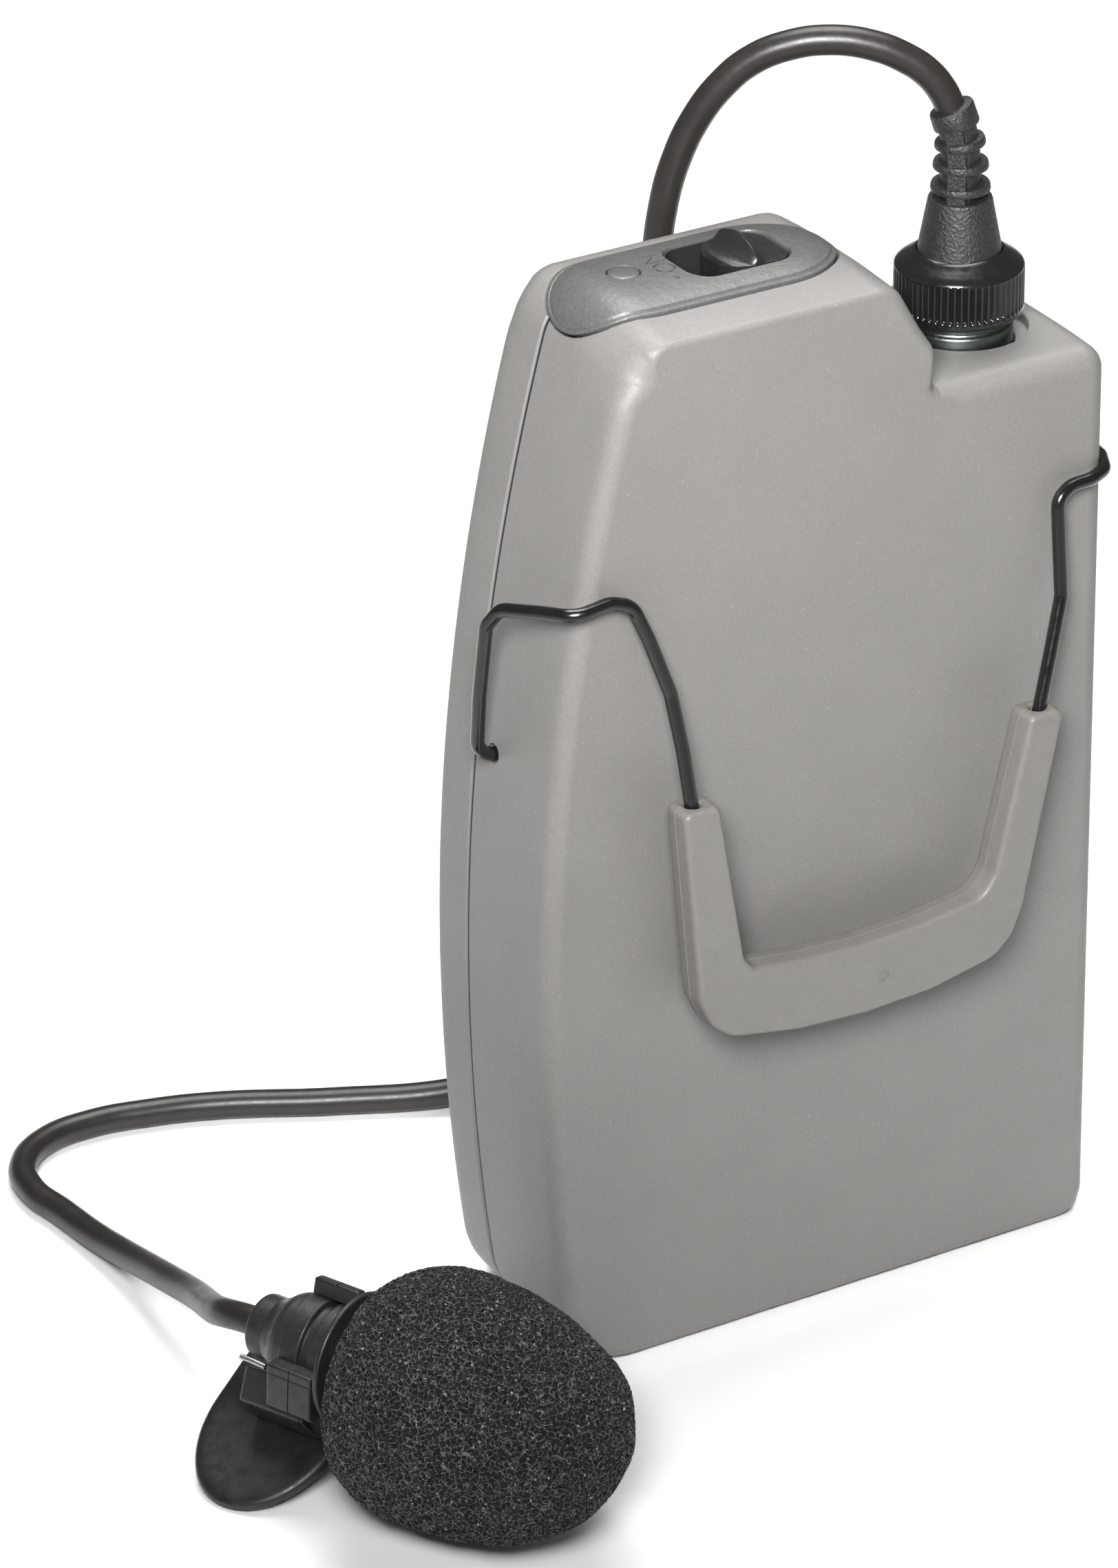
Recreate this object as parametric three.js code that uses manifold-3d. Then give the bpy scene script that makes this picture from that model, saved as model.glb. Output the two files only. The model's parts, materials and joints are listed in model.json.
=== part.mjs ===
// Wireless lavalier microphone: a body-pack transmitter with a sprung wire belt clip,
// a cord with a screw-on plug, and a tie-clip microphone under a foam windscreen.
//
// Millimetres, +Z up. The origin is the centre of the pack's base; +X is to the right seen
// from the front, -Y is the front. The pack stands on Z = 0 and the microphone lies beside it.

import * as THREE from 'three';
import { mergeVertices } from 'three/addons/utils/BufferGeometryUtils.js';
import Module from 'manifold-3d';

const wasm = await Module();
wasm.setup();

// ---------------------------------------------------------------- driving dimensions

const GAP = 0.3; // running gap between touching pieces

const PACK = {
  width: 63, depth: 23, shoulder: 95, crown: 107, // overall outline
  crownWall: 11.8, crownArc: 9.3, // right wall of the crown and the arc above it
  bulge: 235, waist: 38, // radius of the curved left side, height where it is widest
  wall: 1.8, parting: 2, edgeIn: 2.4, edgeDeep: 3.5, // shell wall, parting plane, edge rounding
};
const FRONT = -PACK.depth / 2;
const BACK = PACK.depth / 2;
const RIGHT = PACK.width / 2;

const CAP = { left: -22.3, right: 8.2, y: 0.1, width: 14.6, low: 101.8, proud: 1.3, under: 1.5 };
const SWITCH = { x: -3.4, length: 10.8, y: 0.1, width: 8, slider: 6.4 };
const LED = { x: -14.5, y: 0.3, radius: 1.8 };

const JACK = { x: 20.8, y: -0.6, ringLow: 97.7, ringRadius: 6.45 };
const BOOT_TOP = 117.5;

const CELL = { radius: 7.1, low: 8.4, length: 49, tip: 1.5, y: 0.6, xs: [-8.2, 7.6] };
const DOOR = { half: 19, low: 10.3, high: 61.7, slot: 2 }; // slot: where its slide ends

const WIRE = 0.68; // radius of the belt clip's wire
const YOKE = { front: -17.8, back: -14.2, top: 61.5 };

const MIC = { x: -56.7, y: -13.1, z: 13.7, heading: 204.2 }; // ring centre and its turn about Z
const SEAT = 4.85; // radius of the microphone where the ring grips it
const FLANGE = 6.6; // radius of the flange that the foam stops against
const FOAM = { start: 3.6, length: 30.7, radius: 13.4, bore: 4.95, boreEnd: 11.8 };
const CLIP = { tilt: 26.5, inner: 5.15, outer: 6.3, top: -6.5, plate: 1.2, centre: -3.5, tip: 15.3 };
const PIN = { x: 0.5, z: -9.8, radius: 0.6 };

const CORD = { radius: 1.45, sides: 8 };
const COIL = { x: 24, y: 47, inner: 10.4, outer: 22.6, high: 6.3 };

// The cord's centre line from the boot, over the crown and down behind the pack to the coil.
const CORD_RISE = [
  [20.8, -0.6, 117.95], [20.5, -0.4, 119.5], [19.4, 0.3, 121.5], [17.3, 1.7, 123.5],
  [14.2, 3.6, 124.9], [10.7, 5.8, 125.3], [7.2, 8.0, 124.4], [4.4, 9.8, 122.4],
  [2.2, 11.2, 119.8], [0.2, 12.5, 116.4], [-1.4, 13.5, 112.2], [-2.4, 14.3, 107.4],
  [-3.0, 14.9, 100.0], [-3.2, 15.3, 86.0], [-3.2, 15.6, 66.0], [-3.1, 16.0, 46.0],
  [-2.9, 16.5, 27.0], [-2.5, 17.6, 15.0], [-1.7, 20.4, 6.2], [-0.6, 25.4, 2.2],
  [0.6, 32.0, 1.5], [2.2, 39.6, 1.5], [3.0, 47.0, 1.5],
];
// From the coil, over the first stretch, left along the ground and up to the microphone.
const CORD_RUN = [
  [16.0, 27.6, 4.8], [8.5, 30.8, 4.9], [1.0, 34.0, 4.9], [-6.0, 36.9, 3.6],
  [-13.0, 39.8, 2.0], [-24.0, 45.2, 1.5], [-35.1, 50.9, 1.5], [-41.6, 53.1, 1.5],
  [-47.4, 54.2, 1.5], [-53.0, 53.5, 1.5], [-57.2, 50.2, 1.5], [-58.6, 45.4, 1.5],
  [-57.9, 39.6, 1.5], [-57.4, 33.6, 1.8], [-57.2, 27.3, 2.9], [-57.5, 18.8, 5.1],
  [-58.3, 9.8, 8.1], [-60.0, 3.8, 10.8], [-61.2, 0.2, 12.7], [-61.5, -2.1, 13.5],
  [-60.9, -3.7, 13.7],
];

// ---------------------------------------------------------------- materials

const finish = (color, roughness, metalness) => ({ color, roughness, metalness });
const CASE_GREY = finish('#8b8882', 0.55, 0);
const CAP_GREY = finish('#5c5c5b', 0.5, 0);
const YOKE_GREY = finish('#8f8d87', 0.45, 0);
const BLACK_PLASTIC = finish('#1b1b1d', 0.35, 0);
const BOOT_RUBBER = finish('#2a2927', 0.6, 0);
const CORD_BLACK = finish('#2b2825', 0.45, 0);
const WIRE_BLACK = finish('#141416', 0.2, 0.3);
const DARK_METAL = finish('#3b423c', 0.35, 0.9);
const NICKEL = finish('#b9b7b0', 0.3, 1);
const STEEL = finish('#8f9296', 0.35, 1);
const FOAM_BLACK = finish('#1d1c1b', 0.95, 0);
const BOARD_GREEN = finish('#1f5b36', 0.5, 0);
const CELL_JACKET = finish('#3f4a57', 0.35, 0.2);
const LENS_GREY = finish('#6a6a66', 0.25, 0);

// ---------------------------------------------------------------- solids

const rad = THREE.MathUtils.degToRad;

function solid(geometry) {
  const bare = geometry.clone();
  bare.deleteAttribute('normal');
  bare.deleteAttribute('uv');
  const merged = mergeVertices(bare, 1e-5);
  return new wasm.Manifold(new wasm.Mesh({
    numProp: 3,
    vertProperties: new Float32Array(merged.attributes.position.array),
    triVerts: new Uint32Array(merged.index.array),
  }));
}

function geometryOf(manifold) {
  const mesh = manifold.getMesh();
  const geometry = new THREE.BufferGeometry();
  geometry.setAttribute('position', new THREE.BufferAttribute(mesh.vertProperties, 3));
  geometry.setIndex(new THREE.BufferAttribute(mesh.triVerts, 1));
  geometry.computeVertexNormals();
  return geometry;
}

const cut = (first, ...tools) => tools.reduce((body, tool) => body.subtract(tool), first);
const join = (first, ...others) => others.reduce((body, other) => body.add(other), first);

function block([x0, x1], [y0, y1], [z0, z1]) {
  const geometry = new THREE.BoxGeometry(x1 - x0, y1 - y0, z1 - z0);
  return solid(geometry.translate((x0 + x1) / 2, (y0 + y1) / 2, (z0 + z1) / 2));
}

// A shape drawn in X and Z, given depth along Y.
function slab(shape, y0, y1, options = {}) {
  const geometry = new THREE.ExtrudeGeometry(shape, {
    depth: y1 - y0, bevelEnabled: false, curveSegments: 7, ...options,
  });
  return solid(geometry.rotateX(Math.PI / 2).translate(0, y1, 0));
}

// A shape drawn in X and Y, given height along Z.
function plate(shape, z0, z1, curveSegments = 8) {
  const options = { depth: z1 - z0, bevelEnabled: false, curveSegments };
  return solid(new THREE.ExtrudeGeometry(shape, options).translate(0, 0, z0));
}

// A profile of [radius, height] pairs, from the bottom up, turned about an upright axis.
function turned(profile, segments = 24, x = 0, y = 0) {
  const points = profile.map(([radius, height]) => new THREE.Vector2(radius, height));
  return solid(new THREE.LatheGeometry(points, segments).rotateX(Math.PI / 2).translate(x, y, 0));
}

const alongY = (body) => solid(geometryOf(body).rotateX(-Math.PI / 2));
const rodZ = (radius, z0, z1, x, y, segments = 20) =>
  turned([[0, z0], [radius, z0], [radius, z1], [0, z1]], segments, x, y);

function rodY(radius, y0, y1, x, z, segments = 16) {
  const geometry = new THREE.CylinderGeometry(radius, radius, y1 - y0, segments);
  return solid(geometry.translate(x, (y0 + y1) / 2, z));
}

function rodX(radius, x0, x1, y, z, segments = 12) {
  const geometry = new THREE.CylinderGeometry(radius, radius, x1 - x0, segments);
  return solid(geometry.rotateZ(Math.PI / 2).translate((x0 + x1) / 2, y, z));
}

function circle(radius, sides) {
  const corners = Array.from({ length: sides }, (_, index) => {
    const angle = (index * 2 * Math.PI) / sides;
    return new THREE.Vector2(radius * Math.cos(angle), radius * Math.sin(angle));
  });
  return new THREE.Shape(corners);
}

function tube(points, radius, sides, steps) {
  const path = new THREE.CatmullRomCurve3(points.map((p) => new THREE.Vector3(...p)));
  const options = { steps, bevelEnabled: false, extrudePath: path };
  return solid(new THREE.ExtrudeGeometry(circle(radius, sides), options));
}

function roundedBox(length, width, radius, x = 0, y = 0) {
  const shape = new THREE.Shape();
  const [a, b] = [length / 2 - radius, width / 2 - radius];
  shape.absarc(x + a, y + b, radius, 0, rad(90));
  shape.absarc(x - a, y + b, radius, rad(90), rad(180));
  shape.absarc(x - a, y - b, radius, rad(180), rad(270));
  shape.absarc(x + a, y - b, radius, rad(270), rad(360));
  shape.closePath();
  return shape;
}

// ---------------------------------------------------------------- scene graph

const model = new THREE.Group();
const mic = new THREE.Group();
mic.position.set(MIC.x, MIC.y, MIC.z);
mic.rotation.z = rad(MIC.heading);
const tieClip = new THREE.Group();
tieClip.rotation.y = rad(CLIP.tilt);
mic.add(tieClip);
model.add(mic);

function add(name, body, look, group = model) {
  const material = new THREE.MeshStandardMaterial(look);
  const mesh = new THREE.Mesh(geometryOf(body), material);
  mesh.name = name;
  group.add(mesh);
}

// ---------------------------------------------------------------- pack outline

// The pack seen from the front, moved inwards by inset.
function packOutline(inset) {
  const shape = new THREE.Shape();
  const bend = (x, z, radius, from, to) =>
    shape.absarc(x, z, Math.max(radius - inset, 0.4), rad(from), rad(to), false);
  const bulgeX = PACK.bulge - RIGHT;
  const onBulge = (radius, z) => {
    const dz = z - PACK.waist;
    const dx = -Math.sqrt((PACK.bulge - radius) ** 2 - dz ** 2);
    return { x: bulgeX + dx, z, radius, angle: 180 - THREE.MathUtils.radToDeg(Math.atan2(dz, -dx)) };
  };
  const topLeft = onBulge(5.5, PACK.crown - 5.5);
  const bottomLeft = onBulge(8, 8);
  const rightFoot = 3.5;
  const rightTop = 3;
  shape.moveTo(bottomLeft.x, inset);
  bend(RIGHT - rightFoot, rightFoot, rightFoot, -90, 0);
  bend(RIGHT - rightTop, PACK.shoulder - rightTop, rightTop, 0, 90);
  shape.lineTo(PACK.crownWall - inset, PACK.shoulder - inset);
  bend(PACK.crownWall - PACK.crownArc, PACK.crown - PACK.crownArc, PACK.crownArc, 0, 90);
  bend(topLeft.x, topLeft.z, topLeft.radius, 90, topLeft.angle);
  bend(bulgeX, PACK.waist, PACK.bulge, topLeft.angle, bottomLeft.angle);
  bend(bottomLeft.x, bottomLeft.z, bottomLeft.radius, bottomLeft.angle, 270);
  shape.closePath();
  return shape;
}

const capPlan = (grow) => {
  const length = CAP.right - CAP.left + 2 * grow;
  const width = CAP.width + 2 * grow;
  return roundedBox(length, width, width / 2 - 0.01, (CAP.left + CAP.right) / 2, CAP.y);
};

const legHole = (side) => {
  const [x0, x1] = side < 0 ? [-36, -26] : [27, 36];
  return rodX(1, x0, x1, -0.5, 63.4);
};

const SCREWS = [[-24.5, 9.5], [25.5, 9.5], [-20.8, 88], [26, 81]];

// Openings through both shells: under the cap, and for the connector.
function topOpenings() {
  return [
    plate(capPlan(GAP), CAP.low - GAP, PACK.crown + 5),
    rodZ(4.6, 90, 97, JACK.x, JACK.y),
    rodZ(7, PACK.shoulder - 1, 97, JACK.x, JACK.y, 32),
  ];
}

function packBody() {
  const rounding = {
    bevelEnabled: true, bevelSegments: 2, bevelSize: PACK.edgeIn,
    bevelThickness: PACK.edgeDeep, bevelOffset: -PACK.edgeIn,
  };
  const outside = slab(packOutline(0), FRONT + PACK.edgeDeep, BACK - PACK.edgeDeep, rounding);
  const inside = slab(packOutline(PACK.wall), FRONT + PACK.wall, BACK - PACK.wall);
  return cut(outside, inside);
}

const everywhere = [-60, 60];
const body = packBody();

function frontShell() {
  const half = cut(body, block(everywhere, [PACK.parting - GAP / 2, 30], [-10, 130]));
  const posts = SCREWS.map(([x, z]) => rodY(2.6, FRONT + 1, PACK.parting - GAP / 2, x, z));
  const holes = SCREWS.map(([x, z]) => rodY(1.4, -6, 5, x, z, 12));
  return cut(join(half, ...posts), ...holes, ...topOpenings(), legHole(-1), legHole(1));
}

function backShell() {
  const half = cut(body, block(everywhere, [-30, PACK.parting + GAP / 2], [-10, 130]));
  const ledge = cut(
    block([-20.6, 20.6], [8.1, BACK - 1], [1.2, 64]),
    block([-17, 17], [7, 12], [DOOR.low + 0.2, 61]),
  );
  const posts = SCREWS.map(([x, z]) => rodY(3.5, PACK.parting + GAP / 2, BACK - 1, x, z));
  const recess = block([-DOOR.half, DOOR.half], [9.75, 13], [DOOR.slot, DOOR.high + GAP]);
  const heads = SCREWS.map(([x, z]) => rodY(2.7, 8.6, 14, x, z));
  const shanks = SCREWS.map(([x, z]) => rodY(1.4, 0, 14, x, z, 12));
  const openings = topOpenings();
  return cut(join(half, ledge, ...posts), recess, ...heads, ...shanks, ...openings);
}

add('front_shell', frontShell(), CASE_GREY);
add('back_shell', backShell(), CASE_GREY);

SCREWS.forEach(([x, z], index) => {
  const screw = join(rodY(2.4, 8.9, 10.7, x, z), rodY(1.1, -4.5, 9, x, z, 12));
  const slot = block([x - 1.6, x + 1.6], [10, 12], [z - 0.35, z + 0.35]);
  add(`case_screw_${index + 1}`, cut(screw, slot), STEEL);
});

// ---------------------------------------------------------------- top cap and switch

function topCap() {
  const layer = cut(
    slab(packOutline(-CAP.proud), -12, 12, { curveSegments: 9 }),
    slab(packOutline(CAP.under), -13, 13, { curveSegments: 9 }),
  );
  const opening = roundedBox(SWITCH.length, SWITCH.width, 2.2, SWITCH.x, SWITCH.y);
  return cut(
    layer.intersect(plate(capPlan(0), CAP.low, PACK.crown + 5, 10)),
    plate(opening, 100, 112, 5),
    rodZ(LED.radius + GAP, 100, 112, LED.x, LED.y),
  );
}

function switchSlider() {
  const right = SWITCH.x + SWITCH.length / 2 - 0.4;
  const left = right - SWITCH.slider;
  const shape = new THREE.Shape([new THREE.Vector2(left, 103.8), new THREE.Vector2(right, 103.8)]);
  shape.lineTo(right, 107.6);
  shape.absarc((left + right) / 2 + 0.6, 107.4, 2, rad(10), rad(170), false);
  shape.lineTo(left, 107.6);
  shape.closePath();
  const width = SWITCH.width - 0.8;
  const plan = roundedBox(SWITCH.slider, width, 1.9, (left + right) / 2, SWITCH.y);
  return slab(shape, SWITCH.y - width / 2, SWITCH.y + width / 2).intersect(plate(plan, 100, 112, 5));
}

add('top_cap', topCap(), CAP_GREY);
add('switch_slider', switchSlider(), BLACK_PLASTIC);
add('switch_body', block([-10, 3], [-4, 4.2], [97.5, 103.4]), BLACK_PLASTIC);
add('indicator_lens', rodZ(LED.radius, 104.9, 108.1, LED.x, LED.y), LENS_GREY);
add('indicator_led', turned([
  [0, 100.5], [1.5, 100.5], [1.5, 103.4], [1.1, 104.3], [0, 104.6],
], 16, LED.x, LED.y), LENS_GREY);

// ---------------------------------------------------------------- connector and plug

const { x: jackX, y: jackY, ringLow } = JACK;

add('connector_collar', turned([
  [0, 87.5], [4.2, 87.5], [4.2, 94.3], [5.2, 94.3], [5.2, 95.9], [4.9, 95.9], [4.9, 97.3],
  [4.4, 97.3], [4.4, 101], [3.3, 101], [3.3, 89.5], [0, 89.5],
], 28, jackX, jackY), DARK_METAL);
add('connector_nut', cut(
  rodZ(6.2, 90.4, 92.9, jackX, jackY, 6),
  rodZ(4.5, 90, 93.5, jackX, jackY, 24),
), NICKEL);
add('plug_core', turned([
  [0, 91], [3, 91], [3, 101.3], [4.3, 101.3], [4.3, 101.9], [3.2, 101.9], [3.2, 103.9],
  [0, 103.9],
], 24, jackX, jackY), NICKEL);
add('coupling_ring', turned([
  [4.75, ringLow], [6.1, ringLow], [JACK.ringRadius, ringLow + 0.4],
  [JACK.ringRadius, ringLow + 4.2], [5.9, ringLow + 4.7], [4.35, ringLow + 6.1],
  [3.6, ringLow + 6.1], [3.6, 102.2], [4.75, 102.2], [4.75, ringLow],
], 28, jackX, jackY), BLACK_PLASTIC);

function bootProfile() {
  const ribs = [110.7, 112.9, 115.1];
  const profile = [[0, 104.2], [4.1, 104.2], [4, 105], [3.2, 109.9], [2.3, 110.2]];
  ribs.forEach((z) => profile.push([2.3, z], [2.9, z], [2.75, z + 1.2], [2.3, z + 1.2]));
  return [...profile, [2.3, BOOT_TOP], [0, BOOT_TOP]];
}
add('cable_boot', turned(bootProfile(), 16, jackX, jackY), BOOT_RUBBER);

// ---------------------------------------------------------------- inside the pack

const cellTop = CELL.low + CELL.length + CELL.tip;

function cell(x, tipUp) {
  const profile = [
    [0, 0], [CELL.radius, 0], [CELL.radius, CELL.length], [2.7, CELL.length],
    [2.7, CELL.length + CELL.tip], [0, CELL.length + CELL.tip],
  ];
  const geometry = geometryOf(turned(profile, 28));
  if (!tipUp) geometry.rotateX(Math.PI).translate(0, 0, CELL.length + CELL.tip);
  return solid(geometry.translate(x, CELL.y, CELL.low));
}

function contactSpring(x, low, high) {
  const turns = 2;
  const steps = 26;
  const points = Array.from({ length: steps + 1 }, (_, index) => {
    const part = index / steps;
    const angle = part * turns * 2 * Math.PI;
    const radius = 4.4 - 2.8 * part;
    const z = low + 0.35 + (high - low - 0.7) * part;
    return [x + radius * Math.cos(angle), CELL.y + radius * Math.sin(angle), z];
  });
  return tube(points, 0.3, 5, steps);
}

const [leftCell, rightCell] = CELL.xs;
add('battery_cell_left', cell(leftCell, true), CELL_JACKET);
add('battery_cell_right', cell(rightCell, false), CELL_JACKET);
add('battery_tray', cut(
  block([-16.6, 16.2], [-7.6, 7.8], [3.8, 62.4]),
  block([-15.6, 15.2], [-6.8, 9.5], [5.2, 61.2]),
), BLACK_PLASTIC);
const contactPlate = (x, z) => block([x - 4, x + 4], [CELL.y - 4, CELL.y + 4], [z, z + 0.5]);
add('contact_spring_left', contactSpring(leftCell, 5.5, CELL.low - GAP), NICKEL);
add('contact_spring_right', contactSpring(rightCell, cellTop + GAP, 60.9), NICKEL);
add('contact_plate_left', contactPlate(leftCell, cellTop + GAP), NICKEL);
add('contact_plate_right', contactPlate(rightCell, CELL.low - GAP - 0.5), NICKEL);

const boardHole = rodY(3, -11, 0, -20.8, 88);
add('circuit_board', cut(block([-21, 22], [-9.2, -8], [6, 93]), boardHole), BOARD_GREEN);
add('radio_shield', block([-17, 12], [-7.7, -4.6], [64, 84]), STEEL);

function batteryDoor() {
  const half = DOOR.half - GAP;
  const ribs = [0, 1, 2, 3].map((index) => {
    const z = 48 + index * 2.4;
    return block([-8, 8], [BACK - 0.3, BACK + 0.5], [z, z + 1.1]);
  });
  return join(block([-half, half], [10.05, BACK], [DOOR.low, DOOR.high]), ...ribs);
}
add('battery_door', batteryDoor(), CASE_GREY);

// ---------------------------------------------------------------- belt clip

const LEG_LEFT = [
  [-26.6, -0.4, 63.4], [-30.6, -0.6, 63.4], [-32.1, -1.0, 64.8], [-32.4, -2.2, 71],
  [-32.4, -3.7, 78.6], [-31.7, -5.2, 80.7], [-29.8, -9.4, 81.6], [-28.5, -12.0, 82],
  [-27.6, -12.6, 82.1],
];
const LEG_RIGHT = [
  [27.8, -0.4, 63.4], [32.0, -0.6, 63.4], [33.4, -1.0, 64.8], [33.4, -2.2, 71],
  [33.4, -3.7, 78.4], [33.4, -5.2, 80.6], [32.8, -8.6, 81.3], [31.0, -11.6, 81.9],
  [28.7, -12.6, 82],
];
const ARM_LEFT = [
  [-27.2, -12.6, 82.1], [-24.4, -12.6, 82.5], [-22.2, -12.8, 81.8], [-20.7, -13.2, 78.2],
  [-18.8, -13.9, 72.4], [-18.1, -14.9, 66.8], [-17.75, -15.9, 61.2], [-17.5, -16, 57.2],
];
const ARM_RIGHT = [
  [28.3, -12.6, 82], [26.2, -12.6, 82], [24.6, -12.8, 81], [24.6, -13.2, 76.6],
  [24.5, -13.9, 71.4], [22.8, -14.9, 66.6], [20.9, -15.9, 61.2], [20.1, -16, 57.2],
];

function yokeShape() {
  const outer = [
    [-19.6, YOKE.top], [-17.9, 41], [-16.6, 38.2], [-14.4, 36.5], [-7, 35.2], [0.6, 34.8],
    [8, 35.2], [15.2, 36.7], [17.2, 38.6], [18.4, 41.6], [22.6, YOKE.top],
  ];
  const inner = [
    [18.8, YOKE.top], [15, 45.6], [13.6, 43.6], [7, 42.6], [0.6, 42.3], [-6, 42.6],
    [-12, 43.3], [-13, 44.6], [-15.7, YOKE.top],
  ];
  return new THREE.Shape([...outer, ...inner].map(([x, z]) => new THREE.Vector2(x, z)));
}

function clipYoke() {
  const socket = (arm) => tube(arm.slice(-2).map(([x, y, z], index) =>
    (index ? [x - (arm.at(-2)[0] - x) * 0.2, y, z - 0.7] : [x, y + 0.02, z + 1])), WIRE + 0.3, 8, 2);
  return cut(slab(yokeShape(), YOKE.front, YOKE.back), socket(ARM_LEFT), socket(ARM_RIGHT));
}

add('clip_leg_left', tube(LEG_LEFT, WIRE, 6, 26), WIRE_BLACK);
add('clip_leg_right', tube(LEG_RIGHT, WIRE, 6, 26), WIRE_BLACK);
add('clip_arm_left', tube(ARM_LEFT, WIRE, 6, 22), WIRE_BLACK);
add('clip_arm_right', tube(ARM_RIGHT, WIRE, 6, 22), WIRE_BLACK);
add('clip_yoke', clipYoke(), YOKE_GREY);

// ---------------------------------------------------------------- microphone
// In the microphone's own frame Y runs along its axis towards the foam, from the ring's centre.

const spun = (profile, segments) => alongY(turned(profile, segments));

add('mic_body', spun([
  [0, -9.7], [3.25, -9.7], [3.25, -4.6], [5, -4.6], [5, -2.9], [4.5, -2.9], [4.5, -2.5],
  [SEAT, -2.5], [SEAT, 2.5], [FLANGE, 2.7], [FLANGE, 3.2], [4.6, 3.3], [4.6, 9.2], [3.4, 9.2],
  [3.4, 4.2], [0, 4.2],
], 24), BLACK_PLASTIC, mic);
add('mic_capsule', spun([[0, 4.5], [3.1, 4.5], [3.1, 9.2], [0, 9.2]], 16), NICKEL, mic);
add('mic_grille', spun([[0, 9.5], [4.6, 9.5], [4.6, 10.4], [3, 11.2], [0, 11.5]], 20), BLACK_PLASTIC, mic);

function windscreen() {
  const { start, length, radius, bore, boreEnd } = FOAM;
  const steps = 9;
  const shoulder = 7.4;
  const profile = [[0, boreEnd], [bore, boreEnd], [bore, start], [radius * 0.66, start]];
  for (let index = 1; index <= 3; index += 1) {
    const angle = rad(index * 30);
    profile.push([radius * (0.66 + 0.34 * Math.sin(angle)), start + shoulder * (1 - Math.cos(angle))]);
  }
  const nose = length - shoulder;
  for (let index = 1; index < steps; index += 1) {
    const angle = rad((index * 90) / steps);
    profile.push([radius * Math.cos(angle) ** 0.8, start + shoulder + nose * Math.sin(angle)]);
  }
  profile.push([0, start + length]);
  return spun(profile, 24);
}
add('foam_windscreen', windscreen(), FOAM_BLACK, mic);

// ---------------------------------------------------------------- tie clip
// In the clip's own frame X points at the tongue's tip, Y along the microphone, Z away from the clip.

function clipRing() {
  const [from, to] = [rad(131.5), rad(389.5)];
  const shape = new THREE.Shape();
  shape.absarc(0, 0, CLIP.outer, from, to, false);
  shape.absarc(0, 0, CLIP.inner, to, from, true);
  shape.closePath();
  const ring = slab(shape, -2.15, 2.15, { curveSegments: 16 });
  const lip = (angle) => solid(new THREE.BoxGeometry(1.3, 4.3, 1.5)
    .translate(CLIP.outer - 0.3, 0, 0).rotateY(-angle));
  const cheek = block([5.45, 7.3], [-2.15, 2.15], [-6.2, 3]);
  const foot = block([1.6, 8.2], [-8.4, 1.6], [-6.2, -4.9]);
  const well = rodY(CLIP.inner, -2.6, 12, 0, 0, 24);
  const collar = rodY(5.35, -12, -2.3, 0, 0, 24);
  return cut(join(ring, lip(from), lip(to), cheek, foot), well, collar);
}

function tongueShape() {
  const { centre, tip } = CLIP;
  const half = 6.9;
  const shape = new THREE.Shape();
  shape.moveTo(-9, centre - 2.6);
  shape.lineTo(-3, centre - 4);
  shape.lineTo(0, centre - half);
  shape.absellipse(5.6, centre, tip - 5.6, half, rad(-90), rad(90), false);
  shape.lineTo(0, centre + half);
  shape.lineTo(-3, centre + 4);
  shape.lineTo(-9, centre + 2.6);
  shape.closePath();
  return shape;
}

function clipPlate() {
  const { top, plate: thick, centre } = CLIP;
  const ear = (y) => block([-1.2, 2.2], [y - 0.5, y + 0.5], [-11, top - 0.6]);
  const pinHole = rodY(PIN.radius + 0.25, -12, 6, PIN.x, PIN.z, 14);
  const flangeRelief = rodY(FLANGE + GAP, 2.3, 6, 0, 0, 32);
  return cut(
    join(plate(tongueShape(), top - thick, top, 12), ear(centre - 3.8), ear(centre + 3.8)),
    pinHole, flangeRelief,
  );
}

function clipLever() {
  const { centre } = CLIP;
  const sides = [centre - 2.9, centre + 2.9];
  const hub = rodY(1.5, ...sides, PIN.x, PIN.z, 16);
  const pad = block([0, 6.4], sides, [-10.6, -9.5]);
  const jaw = block([-9, 0], sides, [-9.9, -8.8]);
  const teeth = [-8.9, -7.3].map((x) => block([x, x + 0.9], sides, [-9, -8.05]));
  return cut(
    join(hub, pad, jaw, ...teeth),
    rodY(PIN.radius + 0.25, -12, 6, PIN.x, PIN.z, 14),
    block([-1.4, 2.4], [centre - 1.9, centre + 1.9], [-12, -7]),
  );
}

const pinLength = [CLIP.centre - 4.5, CLIP.centre + 4.5];
const spring = alongY(turned([[0.95, -1.5], [1.6, -1.5], [1.6, 1.5], [0.95, 1.5], [0.95, -1.5]], 16));
const springPlaced = solid(geometryOf(spring).translate(PIN.x, CLIP.centre, PIN.z));

add('tie_clip_ring', clipRing(), BLACK_PLASTIC, tieClip);
add('tie_clip_plate', clipPlate(), BLACK_PLASTIC, tieClip);
add('tie_clip_lever', clipLever(), BLACK_PLASTIC, tieClip);
add('tie_clip_pin', rodY(PIN.radius, ...pinLength, PIN.x, PIN.z, 12), STEEL, tieClip);
add('tie_clip_spring', springPlaced, STEEL, tieClip);

// ---------------------------------------------------------------- cord

const coilRing = (grow) => turned([
  [COIL.inner - grow, 0.05], [COIL.outer + grow, 0.05], [COIL.outer + grow, COIL.high + grow],
  [COIL.inner - grow, COIL.high + grow], [COIL.inner - grow, 0.05],
], 32, COIL.x, COIL.y);

const cordTube = (route, steps) => cut(tube(route, CORD.radius, CORD.sides, steps), coilRing(GAP));

add('cord_rise', cordTube(CORD_RISE, 36), CORD_BLACK);
add('cord_coil', coilRing(0), CORD_BLACK);
add('cord_run', cordTube(CORD_RUN, 32), CORD_BLACK);

export default model;
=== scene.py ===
import json
import math

import bmesh
import bpy
from mathutils import Matrix, Vector, noise


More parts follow.
